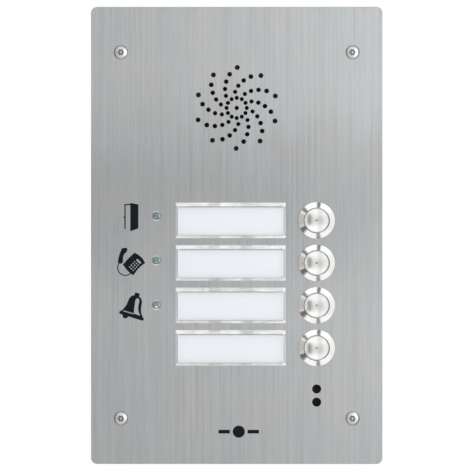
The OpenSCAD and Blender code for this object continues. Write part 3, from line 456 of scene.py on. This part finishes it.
def make_materials():
    for packed in list(bpy.data.materials):
        bpy.data.materials.remove(packed)
    capsule()
    brushed_plate()
    turned_steel()
    galvanised()
    clear_cover()
    paper_card()
    board()
    cone_paper()
    cellular("foam_rubber")
    security_screw()
    lens_rim_painted_light()
    bare_metal(
        "zinc_hardware", roughness=0.34, grain=(5, 5, 1.2), depth=0.004, mottle=0.1, tint=(0.66, 0.68, 0.60),
    )
    bare_metal("spring_steel", roughness=0.28, grain=(6, 6, 6), depth=0.002)
    bare_metal(
        "contact_brass", roughness=0.28, grain=(4, 4, 4), depth=0.003, mottle=0.12, tint=(0.80, 0.60, 0.28),
    )
    bare_metal(
        "speaker_steel", roughness=0.42, grain=(3, 3, 3), depth=0.006, mottle=0.15, tint=(0.36, 0.36, 0.30),
    )
    moulded("magnet_ferrite", roughness=0.6, grain=5.0, depth=0.03, mottle=0.15)
    moulded(
        "black_fill", roughness=0.5, grain=3.0, depth=0.01, mottle=0.15, colour=(0.0045, 0.0055, 0.009),
        Specular_IOR_Level=0.08,
    )
    moulded("opal_plastic", roughness=0.42, grain=6.0, depth=0.006, Subsurface_Weight=0.1)
    moulded("white_plastic", roughness=0.45, grain=6.0, depth=0.01)
    moulded("black_plastic", roughness=0.42, grain=9.0, depth=0.012, mottle=0.12)
    moulded("black_rubber", roughness=0.68, grain=5.0, depth=0.02, mottle=0.2)
    moulded("led_package", roughness=0.25, grain=6.0, depth=0.006)
    moulded("chip_epoxy", roughness=0.55, grain=14.0, depth=0.012, mottle=0.1)
    moulded("capacitor_sleeve", roughness=0.24, grain=3.0, depth=0.006)
    moulded("connector_nylon", roughness=0.40, grain=5.0, depth=0.01)
    moulded("relay_case", roughness=0.30, grain=8.0, depth=0.012)
    moulded("terminal_green", roughness=0.42, grain=8.0, depth=0.015)
    moulded("trimmer_blue", roughness=0.28, grain=6.0, depth=0.01)
    moulded("trimmer_white", roughness=0.38, grain=6.0, depth=0.01)
    moulded("wire_red", roughness=0.48, grain=3.0, depth=0.01)
    moulded("wire_black", roughness=0.48, grain=3.0, depth=0.01)
    moulded("board_track", roughness=0.3, grain=5.0, depth=0.006, mottle=0.12, colour=(0.03, 0.22, 0.085))
    moulded("ceramic_tan", roughness=0.5, grain=6.0, depth=0.01, mottle=0.12, colour=(0.32, 0.22, 0.12))
    lens("lens_upper", (0.11, 0.15, 0.157), 0.10)
    lens("lens_middle", (0.105, 0.17, 0.16), 0.15)
    lens("lens_lower", (0.15, 0.165, 0.175), 0.75)


def dress(node, name):
    mesh = NODES[node].data
    mesh.materials.clear()
    mesh.materials.append(bpy.data.materials[name])


def dress_frame():
    for node, slot_name in SLOT_OF.items():
        if slot_name != "lens_tint":
            dress(node, slot_name)
    for n, name in enumerate(LENSES, 1):
        dress(f"status_lens_{n}", name)


# ---- pieces that refine the CAD ----


def turns(count):
    return [2 * math.pi * i / count for i in range(count)]


SHARP_ANGLE = math.radians(38)


class Shape:
    """Collects the faces of one piece, in mm of the face frame."""

    def __init__(self):
        self.bm = bmesh.new()

    def skin(self, rings, capped=True):
        """Quads between rings of points. The end rings are closed by a face each, or joined if not capped."""
        rings = [[self.bm.verts.new(p) for p in ring] for ring in rings]
        count = len(rings[0])
        for a, b in zip(rings, rings[1:]):
            for i in range(count):
                j = (i + 1) % count
                self.bm.faces.new((a[i], a[j], b[j], b[i]))
        if capped:
            self.bm.faces.new(rings[0])
            self.bm.faces.new(rings[-1])
        else:
            for i in range(count):
                j = (i + 1) % count
                self.bm.faces.new((rings[-1][i], rings[-1][j], rings[0][j], rings[0][i]))

    def tube(self, path, radius, sides=10):
        """A round tube along a path, with one radius or one for each point."""
        path = [Vector(p) for p in path]
        radii = radius if hasattr(radius, "__len__") else [radius] * len(path)
        rings = []
        across = None
        for i, point in enumerate(path):
            along = (path[min(i + 1, len(path) - 1)] - path[max(i - 1, 0)]).normalized()
            if across is None:
                across = along.cross((0, 0, 1) if abs(along.z) < 0.9 else (1, 0, 0))
            across = (across - along * across.dot(along)).normalized()
            up = along.cross(across)
            rings.append([point + radii[i] * (math.cos(a) * across + math.sin(a) * up) for a in turns(sides)])
        self.skin(rings)

    def lathe(self, centre, profile, sides, capped=True):
        """Revolves (radius, height) pairs round the z axis through centre. A profile that isn't capped is a
        closed loop, which leaves a hole."""
        x, y, z = centre
        rings = [
            [(x + r * math.cos(a), y + r * math.sin(a), z + h) for a in turns(sides)]
            for r, h in profile
        ]
        self.skin(rings, capped)

    def prism(self, outline, low, high):
        """A flat shape of (x, y) points between two heights."""
        self.skin([[(x, y, low) for x, y in outline], [(x, y, high) for x, y in outline]])

    def block(self, low, high, bevel=0.1):
        corners = bmesh.ops.create_cube(self.bm, size=1)["verts"]
        for corner in corners:
            corner.co = Vector(a + (c + 0.5) * (b - a) for c, a, b in zip(corner.co, low, high))
        edges = list(dict.fromkeys(e for corner in corners for e in corner.link_edges))
        bmesh.ops.bevel(self.bm, geom=edges, offset=bevel, segments=2, profile=0.6, affect="EDGES")

    def blob(self, centre, radii):
        made = bmesh.ops.create_uvsphere(self.bm, u_segments=16, v_segments=10, radius=1)["verts"]
        for v in made:
            v.co = Vector(c + r * p for c, r, p in zip(centre, radii, v.co))

    def thread(self, x, y, radius, low, high, pitch, depth, steps=20):
        """The ridge of a screw thread. Its root sits inside the shank, and it runs out at both ends."""
        count = int((high - low) / pitch * steps)
        rings = []
        for i in range(count + 1):
            a = 2 * math.pi * i / steps
            z = low + pitch * i / steps
            run_out = min(1.0, i / steps, (count - i) / steps)
            crest = radius + depth * run_out
            section = ((radius - 0.1, -0.42), (crest, -0.08), (crest, 0.08), (radius - 0.1, 0.42))
            rings.append([(x + r * math.cos(a), y + r * math.sin(a), z + h * pitch) for r, h in section])
        self.skin(rings)

    def done(self, name, slot_name, body="front_panel", replaced=(), material=None):
        """Makes the piece with the given material, or else the one named after the slot, puts it in the body,
        and hides the CAD nodes that it stands for.
        """
        bmesh.ops.recalc_face_normals(self.bm, faces=self.bm.faces)
        for vertex in self.bm.verts:
            vertex.co = at(*vertex.co)
        mesh = bpy.data.meshes.new(name)
        self.bm.to_mesh(mesh)
        self.bm.free()
        mesh.polygons.foreach_set("use_smooth", [True] * len(mesh.polygons))
        mesh.set_sharp_from_angle(angle=SHARP_ANGLE)
        mesh.materials.append(bpy.data.materials[material or slot_name])
        piece = bpy.data.objects.new(name, mesh)
        bpy.context.scene.collection.objects.link(piece)
        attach(piece, body)
        if replaced:
            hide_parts(*replaced)
        return piece


def row_y(row):
    return ROW_TOP - row * ROW_PITCH


SPRING_R, SPRING_WIRE_R = 4.6, 0.35
SPRING_REAR, SPRING_FRONT = -9.0, 0.65
SPRING_ACTIVE_TURNS = 4.5


def springs():
    """Return springs of round wire, with a closed coil at each end."""
    steps = 40
    low, high = SPRING_REAR + SPRING_WIRE_R + 0.05, SPRING_FRONT - SPRING_WIRE_R - 0.05
    closed = 2 * SPRING_WIRE_R
    heights = (
        (0, low), (1, low + closed),
        (1 + SPRING_ACTIVE_TURNS, high - closed), (2 + SPRING_ACTIVE_TURNS, high),
    )
    for row in ROWS:
        path = []
        for i in range(int(heights[-1][0] * steps) + 1):
            turn = i / steps
            (t0, z0), (t1, z1) = next(pair for pair in zip(heights, heights[1:]) if turn <= pair[1][0])
            z = z0 + (z1 - z0) * (turn - t0) / (t1 - t0)
            a = 2 * math.pi * turn
            path.append((BUTTON_X + SPRING_R * math.cos(a), row_y(row) + SPRING_R * math.sin(a), z))
        coil = Shape()
        coil.tube(path, SPRING_WIRE_R)
        spring = coil.done(f"spring_coil_{row + 1}", "spring_steel", replaced=[f"button_spring_{row + 1}"])
        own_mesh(spring)


GAP_SHADE_R = 6.09
GAP_SHADE_Z = 3.86
# The arcs where the painted gap shade shows round a cap: middle and half-width in degrees, and size in mm
GAP_SHADE_ARCS = ((-6, 56, 0.38), (222, 32, 0.32), (265, 25, 0.18), (165, 40, 0.06))


def gap_shade_rings():
    """Thin black rings in the gaps round the caps, put there as painted shade. Each is widest on the right
    and the lower left.
    """
    shade_rings = Shape()
    steps = 120
    for row in ROWS:
        rings = []
        for i in range(steps):
            degrees = 360 * i / steps
            width = 0.03
            for middle, half, out in GAP_SHADE_ARCS:
                away = abs((degrees - middle + 180) % 360 - 180) / half
                width = max(width, out * math.cos(min(away, 1.0) * math.pi / 2) ** 0.6)
            a = math.radians(degrees)
            section = (
                (0.0, -0.4), (0.0, 0.08), (width * 0.5, 0.12 + width), (width, 0.06 + width), (width, -0.1),
            )
            rings.append([
                (BUTTON_X + (GAP_SHADE_R + r) * math.cos(a), row_y(row) + (GAP_SHADE_R + r) * math.sin(a), GAP_SHADE_Z + z)
                for r, z in section
            ])
        shade_rings.skin(rings, capped=False)
    shade_rings.done("cap_gap_shade", "black_rubber")


def lens_rims():
    """Rims where the light holes were countersunk, with painted light on them."""
    section = ((1.96, -0.46), (2.42, -0.02), (2.38, 0.03), (2.34, 0.0), (1.93, -0.40))
    rims = Shape()
    for n in range(3):
        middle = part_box(f"status_lens_{n + 1}")
        x, y = (middle[0].x + middle[1].x) / 2 / MM, (middle[0].z + middle[1].z) / 2 / MM
        rims.lathe((x, y, PLATE_T), section, 64, capped=False)
    rims.done("lens_rims", "polished_steel", material="lens_rim_painted_light")


BOARD_REAR = -12.8
PLUG_H = 7.0
PLUG_PIN = 1.25
WIRE_R = 0.6
BARE_R = 0.32
BARE_END = 0.07
BUTTON_PLUG = (19.0, -24.0)
SPEAKER_PLUG = (0.0, 22.0)
MIC_PLUG = (14.0, -64.0)
MIC_Y = -79.15
TAB_Z = -29.25
TAG_Y, TAG_Z = 47.0, -10.0


def bezier(p, t):
    p = [Vector(q) for q in p]
    return (1 - t) ** 3 * p[0] + 3 * t * (1 - t) ** 2 * p[1] + 3 * t * t * (1 - t) * p[2] + t ** 3 * p[3]


def route(p, start=0.0, end=1.0, count=33):
    return [bezier(p, start + (end - start) * i / (count - 1)) for i in range(count)]


def wiring():
    """The wires' insulation, their tinned ends and solder, and the crimps where they enter the plugs."""
    plug_top = BOARD_REAR - PLUG_H
    red, black, tin = Shape(), Shape(), Shape()
    for row in ROWS:
        for side in (0, 1):
            tab_y = row_y(row) + (2 * side - 1) * 3
            plug_y = BUTTON_PLUG[1] + (3.5 - 2 * row - (1 - side)) * 2
            p = [
                (BUTTON_X - 1.4, tab_y, TAB_Z), (BUTTON_X - 12, tab_y, TAB_Z - 3),
                (BUTTON_PLUG[0], plug_y, plug_top - 10), (BUTTON_PLUG[0], plug_y, plug_top),
            ]
            red.tube(route(p, BARE_END), WIRE_R)
            tin.tube([(BUTTON_X, tab_y, TAB_Z)] + route(p, 0, BARE_END + 0.02, 5), BARE_R, 8)
            tin.blob((BUTTON_X, tab_y, TAB_Z), (1.15, 0.62, 1.0))
            low = (BUTTON_PLUG[0] - 0.75, plug_y - 0.7, plug_top - 0.5)
            high = (BUTTON_PLUG[0] + 0.75, plug_y + 0.7, plug_top + 0.3)
            tin.block(low, high)
    for side in (-1, 1):
        ends = (
            (side * 4, TAG_Y, TAG_Z, -12, SPEAKER_PLUG, -14, BARE_END),
            (BUTTON_X + side * 1.5, MIC_Y, -9.0, -14, MIC_PLUG, -12, 0.0),
        )
        for x, y, z, out, plug, rise, bare in ends:
            plug_x = plug[0] + side * PLUG_PIN
            p = [(x, y, z), (x, y, z + out), (plug_x, plug[1], plug_top + rise), (plug_x, plug[1], plug_top)]
            black.tube(route(p, bare), WIRE_R)
            low = (plug_x - 0.7, plug[1] - 0.75, plug_top - 0.5)
            high = (plug_x + 0.7, plug[1] + 0.75, plug_top + 0.3)
            tin.block(low, high)
            if bare:
                tin.tube(route(p, 0, bare + 0.02, 5), BARE_R, 8)
                tin.lathe((x, y, z), [(1.3, 0.0), (1.3, -0.2), (1.0, -0.35), (0.5, -0.35), (0.5, 0.0)], 24)
                tin.blob((x, y, z - 0.3), (0.95, 0.95, 0.7))
    red.done("switch_wires", "wire_red", replaced=["button_wires"])
    black.done("speaker_and_microphone_wires", "wire_black", replaced=["audio_wires"])
    tin.done("solder_and_crimps", "zinc_hardware")


def threads():
    """Screw threads on the security screws, the weld studs and the button barrels."""
    screws, studs, barrels = Shape(), Shape(), Shape()
    for x in (-SCREW_X, SCREW_X):
        for y in (-SCREW_Y, SCREW_Y):
            screws.thread(x, y, radius=1.68, low=-13.6, high=-1.2, pitch=0.7, depth=0.11)
    for x in (-SPEAKER_STUD, SPEAKER_STUD):
        for y in (GRILLE_Y - SPEAKER_STUD, GRILLE_Y + SPEAKER_STUD):
            studs.thread(x, y, radius=1.44, low=-8.9, high=-6.0, pitch=0.5, depth=0.1, steps=16)
    for x in BOARD_STUDS_X:
        for y in BOARD_STUDS_Y:
            studs.thread(x, y, radius=1.44, low=-16.9, high=-15.3, pitch=0.5, depth=0.1, steps=16)
    for row in ROWS:
        barrels.thread(
            BUTTON_X, row_y(row), radius=7.95, low=-17.6, high=-3.2, pitch=1.0, depth=0.22, steps=48,
        )
    screws.done("screw_threads", "screw_steel")
    studs.done("stud_threads", "zinc_hardware")
    barrels.done("barrel_threads", "polished_steel")


# Chips: middle, size, pitch of the legs, and which sides have legs
CHIPS = (
    ((-14, -8), (6, 10), 1.27, "sides"), ((-12, -32), (9, 9), 0.8, "all"), ((8, 2), (5, 6), 1.27, "sides"),
)
# Tall capacitors: middle, radius and height
CAPACITORS = (((8, -44), 5.0, 12.5), ((-4, -52), 4.0, 11.0), ((-20, 14), 4.0, 11.0))
TERMINAL_WAYS = [-32.5 + 5 * i for i in range(6)]
TERMINAL_Y = -72.0
# Small resistors and capacitors: place and whether they lie along x
PASSIVES = (
    (-22, -4, 1), (-22, -8, 1), (-22, -12, 1), (-24, -26, 0), (-21, -38, 1), (-12, -20, 1), (-6, -20, 1),
    (-3, -26, 0), (2, -14, 1), (2, -18, 1), (8, -6, 1), (14, 4, 0), (-2, 4, 0), (-26, -58, 0), (-30, -44, 1),
    (-42, -64, 1), (-8, 8, 1), (10, 14, 1), (-10, -60, 1), (-46, -46, 1), (-30, 20, 0), (4, -58, 0),
)
PASSIVE_L, PASSIVE_W, PASSIVE_T = 2.0, 1.25, 0.55


def gull_leg(tin, x, y, dx, dy, width):
    """A chip's leg that comes out at (x, y) along (dx, dy), drops to the board and ends in a foot."""
    path = ((0.0, 0.9), (0.35, 0.85), (0.6, 0.12), (1.25, 0.08))
    half = width / 2
    rings = []
    for out, rise in path:
        px, py, z = x + dx * out, y + dy * out, BOARD_REAR - rise
        rings.append([
            (px - dy * half, py + dx * half, z - 0.07), (px + dy * half, py - dx * half, z - 0.07),
            (px + dy * half, py - dx * half, z + 0.07), (px - dy * half, py + dx * half, z + 0.07),
        ])
    tin.skin(rings)


def ribbon(shape, points, width):
    """A printed track with mitred bends."""
    points = [Vector(p) for p in points]
    left, right = [], []
    for i, point in enumerate(points):
        back = (point - points[max(i - 1, 0)]).normalized() if i else None
        ahead = (points[i + 1] - point).normalized() if i + 1 < len(points) else None
        along = ((back or ahead) + (ahead or back)).normalized()
        across = Vector((-along.y, along.x))
        reach = width / 2 / max(0.3, along.dot(ahead or back))
        left.append(point + across * reach)
        right.append(point - across * reach)
    low, high = BOARD_REAR - 0.06, BOARD_REAR + 0.02
    shape.skin([[(*a, low), (*b, low), (*b, high), (*a, high)] for a, b in zip(left, right)])


def board_tracks():
    """Tracks, vias and pads on the rear of the circuit board."""
    tracks, tin = Shape(), Shape()
    for i in range(8):
        start, end = BUTTON_PLUG[1] + (3.5 - i) * 2, -32 + (3.5 - i) * 0.8
        bend = 12.5 - 0.6 * i
        ribbon(tracks, [(16.4, start), (bend, start), (bend - (start - end), end), (-6.6, end)], 0.35)
    for i in range(4):
        y = -8 + (1.5 - i) * 1.27
        ribbon(tracks, [(-18.2, y), (-27 - 0.5 * i, y), (-29 - 0.5 * i, y + 2), (-34.8, y + 2)], 0.4)
        ribbon(tracks, [(-9.8, y), (-2 + 0.5 * i, y), (2 + 0.5 * i, y + 4), (4.2, y + 4)], 0.35)
        x = -12 + (1.5 - i) * 0.8
        ribbon(tracks, [(x, -26.8), (x, -22 + i * 0.6), (x + 2, -20 + i * 0.6), (x + 2, -15.5)], 0.3)
    for i, y in enumerate((-22, -36)):
        ribbon(tracks, [(-17.4, -30.4 - i), (-24, -30.4 - i), (-24 - abs(y + 30.4 + i), y), (-44.4, y)], 0.4)
    for i, x in enumerate(TERMINAL_WAYS):
        ribbon(tracks, [(x, -67.5), (x, -63 + 0.8 * i), (x + 3, -60 + 0.8 * i), (x + 3, -57.5)], 1.2)
    for side in (-1, 1):
        pin = side * PLUG_PIN
        ribbon(tracks, [(pin, 19), (pin, 14), (6.6 + pin, 8.6), (6.6 + pin, 5.6)], 0.6)
        run_y = -40.9 - side * 0.25
        end_x = -10.4 + side
        points = [(14 + pin, -61), (14 + pin, -56), (-1 + side, run_y), (end_x, run_y), (end_x, -37.2)]
        ribbon(tracks, points, 0.35)
    via = [(0.5, 0.02), (0.5, -0.07), (0.25, -0.07), (0.25, 0.02)]
    places = [(x + 3, -57.2) for x in TERMINAL_WAYS] + [(-28.5 - i, 22 - 2 * i) for i in range(3)]
    places += [
        (-45, -56), (-50, -60), (-52, -10), (-27, 2), (-27, 8), (2, 12), (16, 12), (-16, -58), (-33, -20),
    ]
    for x, y in places:
        tin.lathe((x, y, BOARD_REAR), via, 16, capped=False)
    tracks.done("board_tracks", "board_laminate", material="board_track")
    tin.done("board_vias", "zinc_hardware")


def board_parts():
    """Chip legs, small parts, capacitor tops and terminal screws on the rear of the circuit board."""
    tin, ceramic, film = Shape(), Shape(), Shape()
    for (cx, cy), (w, h), pitch, legs in CHIPS:
        for length, half, swap in ((h, w / 2, 0), (w, h / 2, 1))[:2 if legs == "all" else 1]:
            count = int((length - 1) / pitch) + 1
            for i in range(count):
                step = (i - (count - 1) / 2) * pitch
                for side in (-1, 1):
                    if swap:
                        gull_leg(tin, cx + step, cy + side * half, 0, side, pitch * 0.42)
                    else:
                        gull_leg(tin, cx + side * half, cy + step, side, 0, pitch * 0.42)
    for n, (x, y, along_x) in enumerate(PASSIVES):
        half, side = PASSIVE_L / 2, PASSIVE_W / 2
        body = film if n % 3 else ceramic
        sections = (
            (body, -half + 0.35, half - 0.35, 0.0),
            (tin, -half, -half + 0.4, 0.03), (tin, half - 0.4, half, 0.03),
        )
        for shape, start, end, thick in sections:
            low = (start, -side - thick) if along_x else (-side - thick, start)
            high = (end, side + thick) if along_x else (side + thick, end)
            rear_corner = (x + low[0], y + low[1], BOARD_REAR - PASSIVE_T - thick)
            front_corner = (x + high[0], y + high[1], BOARD_REAR + 0.01)
            shape.block(rear_corner, front_corner, 0.06)
    for (x, y), r, h in CAPACITORS:
        top = BOARD_REAR - h
        tin.lathe((x, y, top), [(r - 0.9, 0.02), (r - 0.9, -0.10), (r - 1.1, -0.16), (0.01, -0.16)], 48)
        for a in (0.4, 0.4 + math.pi / 2):
            c, s = math.cos(a) * (r - 1.6), math.sin(a) * (r - 1.6)
            tin.tube([(x - c, y - s, top - 0.16), (x + c, y + s, top - 0.16)], 0.09, 6)
    for x in TERMINAL_WAYS:
        y = TERMINAL_Y + 0.6
        tin.lathe((x, y, BOARD_REAR - 7), [(1.45, 0.1), (1.45, -0.9), (1.4, -1.0), (0.01, -1.0)], 28)
        for side in (-1, 1):
            arc = [math.radians(10 + 16 * k) for k in range(11)]
            outline = [(x + 1.4 * math.cos(a), y + side * 1.4 * math.sin(a)) for a in arc]
            tin.prism(outline, BOARD_REAR - 7.9, BOARD_REAR - 8.7)
        low = (x - 1.2, TERMINAL_Y - 2.2, BOARD_REAR - 4.9)
        high = (x + 1.2, TERMINAL_Y - 1.3, BOARD_REAR - 2.3)
        tin.block(low, high)
    tin.done("board_metal", "zinc_hardware")
    ceramic.done("ceramic_capacitors", "led_package", material="ceramic_tan")
    film.done("chip_resistors", "chip_epoxy")


# The wall box's corner flaps, and the row of spot welds in each
FLAP_X, FLAP_Y, FLAP_Z = (63.9, 64.7), (82, 95.2), (-45.5, -5.5)
WELD_Y = 88.5
WELDS_Z = (-12, -25.5, -39)


def sheet_joints():
    """The wall box's folded flaps, and the spot welds that hold them to the outside of its side walls."""
    flaps = Shape()
    for x in (-1, 1):
        for y in (-1, 1):
            low, high = sorted((x * FLAP_X[0], x * FLAP_X[1]))
            near, far = sorted((y * FLAP_Y[0], y * FLAP_Y[1]))
            flaps.block((low, near, FLAP_Z[0]), (high, far, FLAP_Z[1]), 0.35)
            for z in WELDS_Z:
                centre = Vector((x * FLAP_X[1], y * WELD_Y, z))
                dome = [(2.3, -0.05), (2.1, 0.10), (1.3, 0.17), (0.5, 0.20), (0.05, 0.20)]
                flaps.skin([
                    [centre + Vector((x * h, r * math.cos(a), r * math.sin(a))) for a in turns(24)]
                    for r, h in dome
                ])
    flaps.done("box_flaps", "galvanised_sheet", "back_box")


# Edge radius in mm that each CAD node's sharp edges get
SOFT_EDGES = {
    "button_nuts": 0.35, "m3_nuts": 0.2, "box_lugs": 0.15, "relay": 0.4, "board_connectors": 0.25,
    "terminal_block": 0.2, "board_chips": 0.12, "speaker_clamp": 0.2, "switch_bases": 0.4,
    "board_spacers": 0.2, "speaker_magnet": 0.4, "trimmer_bodies": 0.2, "main_board": 0.1,
    "earth_screw": 0.15, "label_reflector": 0.3, "back_box": 0.2, "switch_terminals": 0.08,
    "board_capacitors": 0.5, "microphone_boot": 0.4,
    "name_window_1": 0.3, "name_window_2": 0.3, "name_window_3": 0.3, "name_window_4": 0.3,
}


def soften():
    for node, radius in SOFT_EDGES.items():
        weld = NODES[node].modifiers.new("weld", "WELD")
        weld.merge_threshold = 0.001 * MM
        bevel = NODES[node].modifiers.new("soft_edge", "BEVEL")
        bevel.width = radius * MM
        bevel.segments = 2
        bevel.limit_method = "ANGLE"
        bevel.angle_limit = math.radians(50)
        bevel.harden_normals = True


def add_details():
    springs()
    gap_shade_rings()
    lens_rims()
    wiring()
    threads()
    board_tracks()
    board_parts()
    sheet_joints()
    soften()


# ---- studio ----


def smooth_box(g, u, v, u0, u1, v0, v1, soft):
    """1 inside the rectangle and 0 outside, with soft edges."""
    sides = (
        g.span(u, u0 - soft, u0 + soft, smooth=True), g.span(u, u1 - soft, u1 + soft, 1, 0, smooth=True),
        g.span(v, v0 - soft, v0 + soft, smooth=True), g.span(v, v1 - soft, v1 + soft, 1, 0, smooth=True),
    )
    return g.math("MULTIPLY", g.math("MULTIPLY", sides[0], sides[1]), g.math("MULTIPLY", sides[2], sides[3]))


# Things in the room in front of the panel: left, right, bottom and top as slopes from the panel's axis, the
# softness of the edges, and the tone that the room's light is multiplied by.
ROOM = (
    (0.07, 0.33, 0.88, 1.50, 0.045, (0.12, 0.12, 0.12)),
    (-1.00, -0.72, 0.64, 0.92, 0.045, (0.07, 0.07, 0.07)),
    (-1.20, -0.79, -0.92, -0.46, 0.05, (0.09, 0.075, 0.075)),
    (0.02, 0.31, -1.50, -0.92, 0.045, (0.27, 0.27, 0.28)),
    (0.16, 0.28, -0.16, 0.12, 0.05, (0.18, 0.18, 0.17)),
    (-0.12, -0.01, -0.60, 0.60, 0.03, (0.80, 0.80, 0.80)),
    (-4.00, -0.55, -0.40, 0.55, 0.12, (0.50, 0.475, 0.45)),
    (0.55, 4.00, -0.70, 0.70, 0.15, (0.86, 0.86, 0.85)),
)


def studio_world():
    world = bpy.data.worlds.new("studio")
    bpy.context.scene.world = world
    world.use_nodes = True
    g = Graph(world.node_tree)
    d = g.split(g.add("TexCoord", out="Generated"))
    ahead = g.math("MAXIMUM", g.math("MULTIPLY", d[1], -1.0), 0.03)
    u = g.math("DIVIDE", d[0], ahead)
    v = g.math("DIVIDE", d[2], ahead)
    overhead = g.span(d[2], -1, 1, 0.98, 1.12, smooth=True)
    beside = g.math("MAXIMUM", g.math("ABSOLUTE", v), g.math("MULTIPLY", g.math("ABSOLUTE", u), 0.5))
    ahead_dim = g.span(beside, 0.02, 0.20, 0.74, 1.10, smooth=True)
    light = g.grey(g.math("MULTIPLY", overhead, ahead_dim))
    for u0, u1, v0, v1, soft, tone in ROOM:
        inside = smooth_box(g, u, v, u0, u1, v0, v1, soft)
        light = g.mix(inside, light, tone, "MULTIPLY")
    room = g.add("Background", {"Color": light, "Strength": 1.0})
    white = g.add("Background", {"Color": (1, 1, 1), "Strength": 1.0})
    seen = g.add("LightPath", out="Is Camera Ray")
    shown = g.add("MixShader", (seen, room, white))
    output = world.node_tree.nodes.new("ShaderNodeOutputWorld")
    world.node_tree.links.new(shown, output.inputs[0])


def area_light(name, place, target, size, power, glossy=False):
    data = bpy.data.lights.new(name, "AREA")
    data.shape = "RECTANGLE"
    data.size, data.size_y = size
    data.energy = power
    light = bpy.data.objects.new(name, data)
    light.location = place
    light.rotation_euler = (Vector(target) - Vector(place)).to_track_quat("-Z", "Y").to_euler()
    light.visible_camera = False
    light.visible_glossy = glossy
    bpy.context.scene.collection.objects.link(light)


def studio():
    studio_world()
    area_light("key", (0.25, -0.75, 0.95), (0, -0.05, 0), (0.5, 0.5), 0.5)
    area_light("strip", (0.36, -0.66, 0.10), (0.05, -0.05, 0.02), (0.16, 0.6), 1.5, glossy=True)
    area_light("back", (-0.5, 1.2, 0.8), (0, 0, 0), (0.9, 0.9), 4.0, glossy=True)
    mesh = bpy.data.meshes.new("floor")
    half, level = 0.45, -0.27
    corners = [(-half, -half, level), (half, -half, level), (half, half, level), (-half, half, level)]
    mesh.from_pydata(corners, [], [(0, 1, 2, 3)])
    floor = bpy.data.objects.new("floor", mesh)
    bpy.context.scene.collection.objects.link(floor)
    g = material_graph("floor")
    dust = g.noise(0.02, 4)
    g.principled(Base_Color=g.mix(dust, (0.80, 0.80, 0.79), (0.86, 0.86, 0.85)), Roughness=0.8)
    mesh.materials.append(bpy.data.materials["floor"])
    floor.visible_glossy = False


CAMERA_X, CAMERA_Z = -0.00084, 0.0002
CAMERA_DISTANCE = 1.6
VIEW_WIDTH = 0.2323
PLATE_FRONT = -0.052
SENSOR = 36.0


def camera():
    data = bpy.data.cameras.new("camera")
    data.sensor_width = SENSOR
    data.lens = SENSOR * CAMERA_DISTANCE / VIEW_WIDTH
    view = bpy.data.objects.new("camera", data)
    view.location = (CAMERA_X, PLATE_FRONT - CAMERA_DISTANCE, CAMERA_Z)
    view.rotation_euler = (math.radians(90), 0, 0)
    bpy.context.scene.collection.objects.link(view)
    bpy.context.scene.camera = view


make_materials()
dress_frame()
add_details()
studio()
camera()
bpy.context.scene.view_settings.view_transform = "Standard"
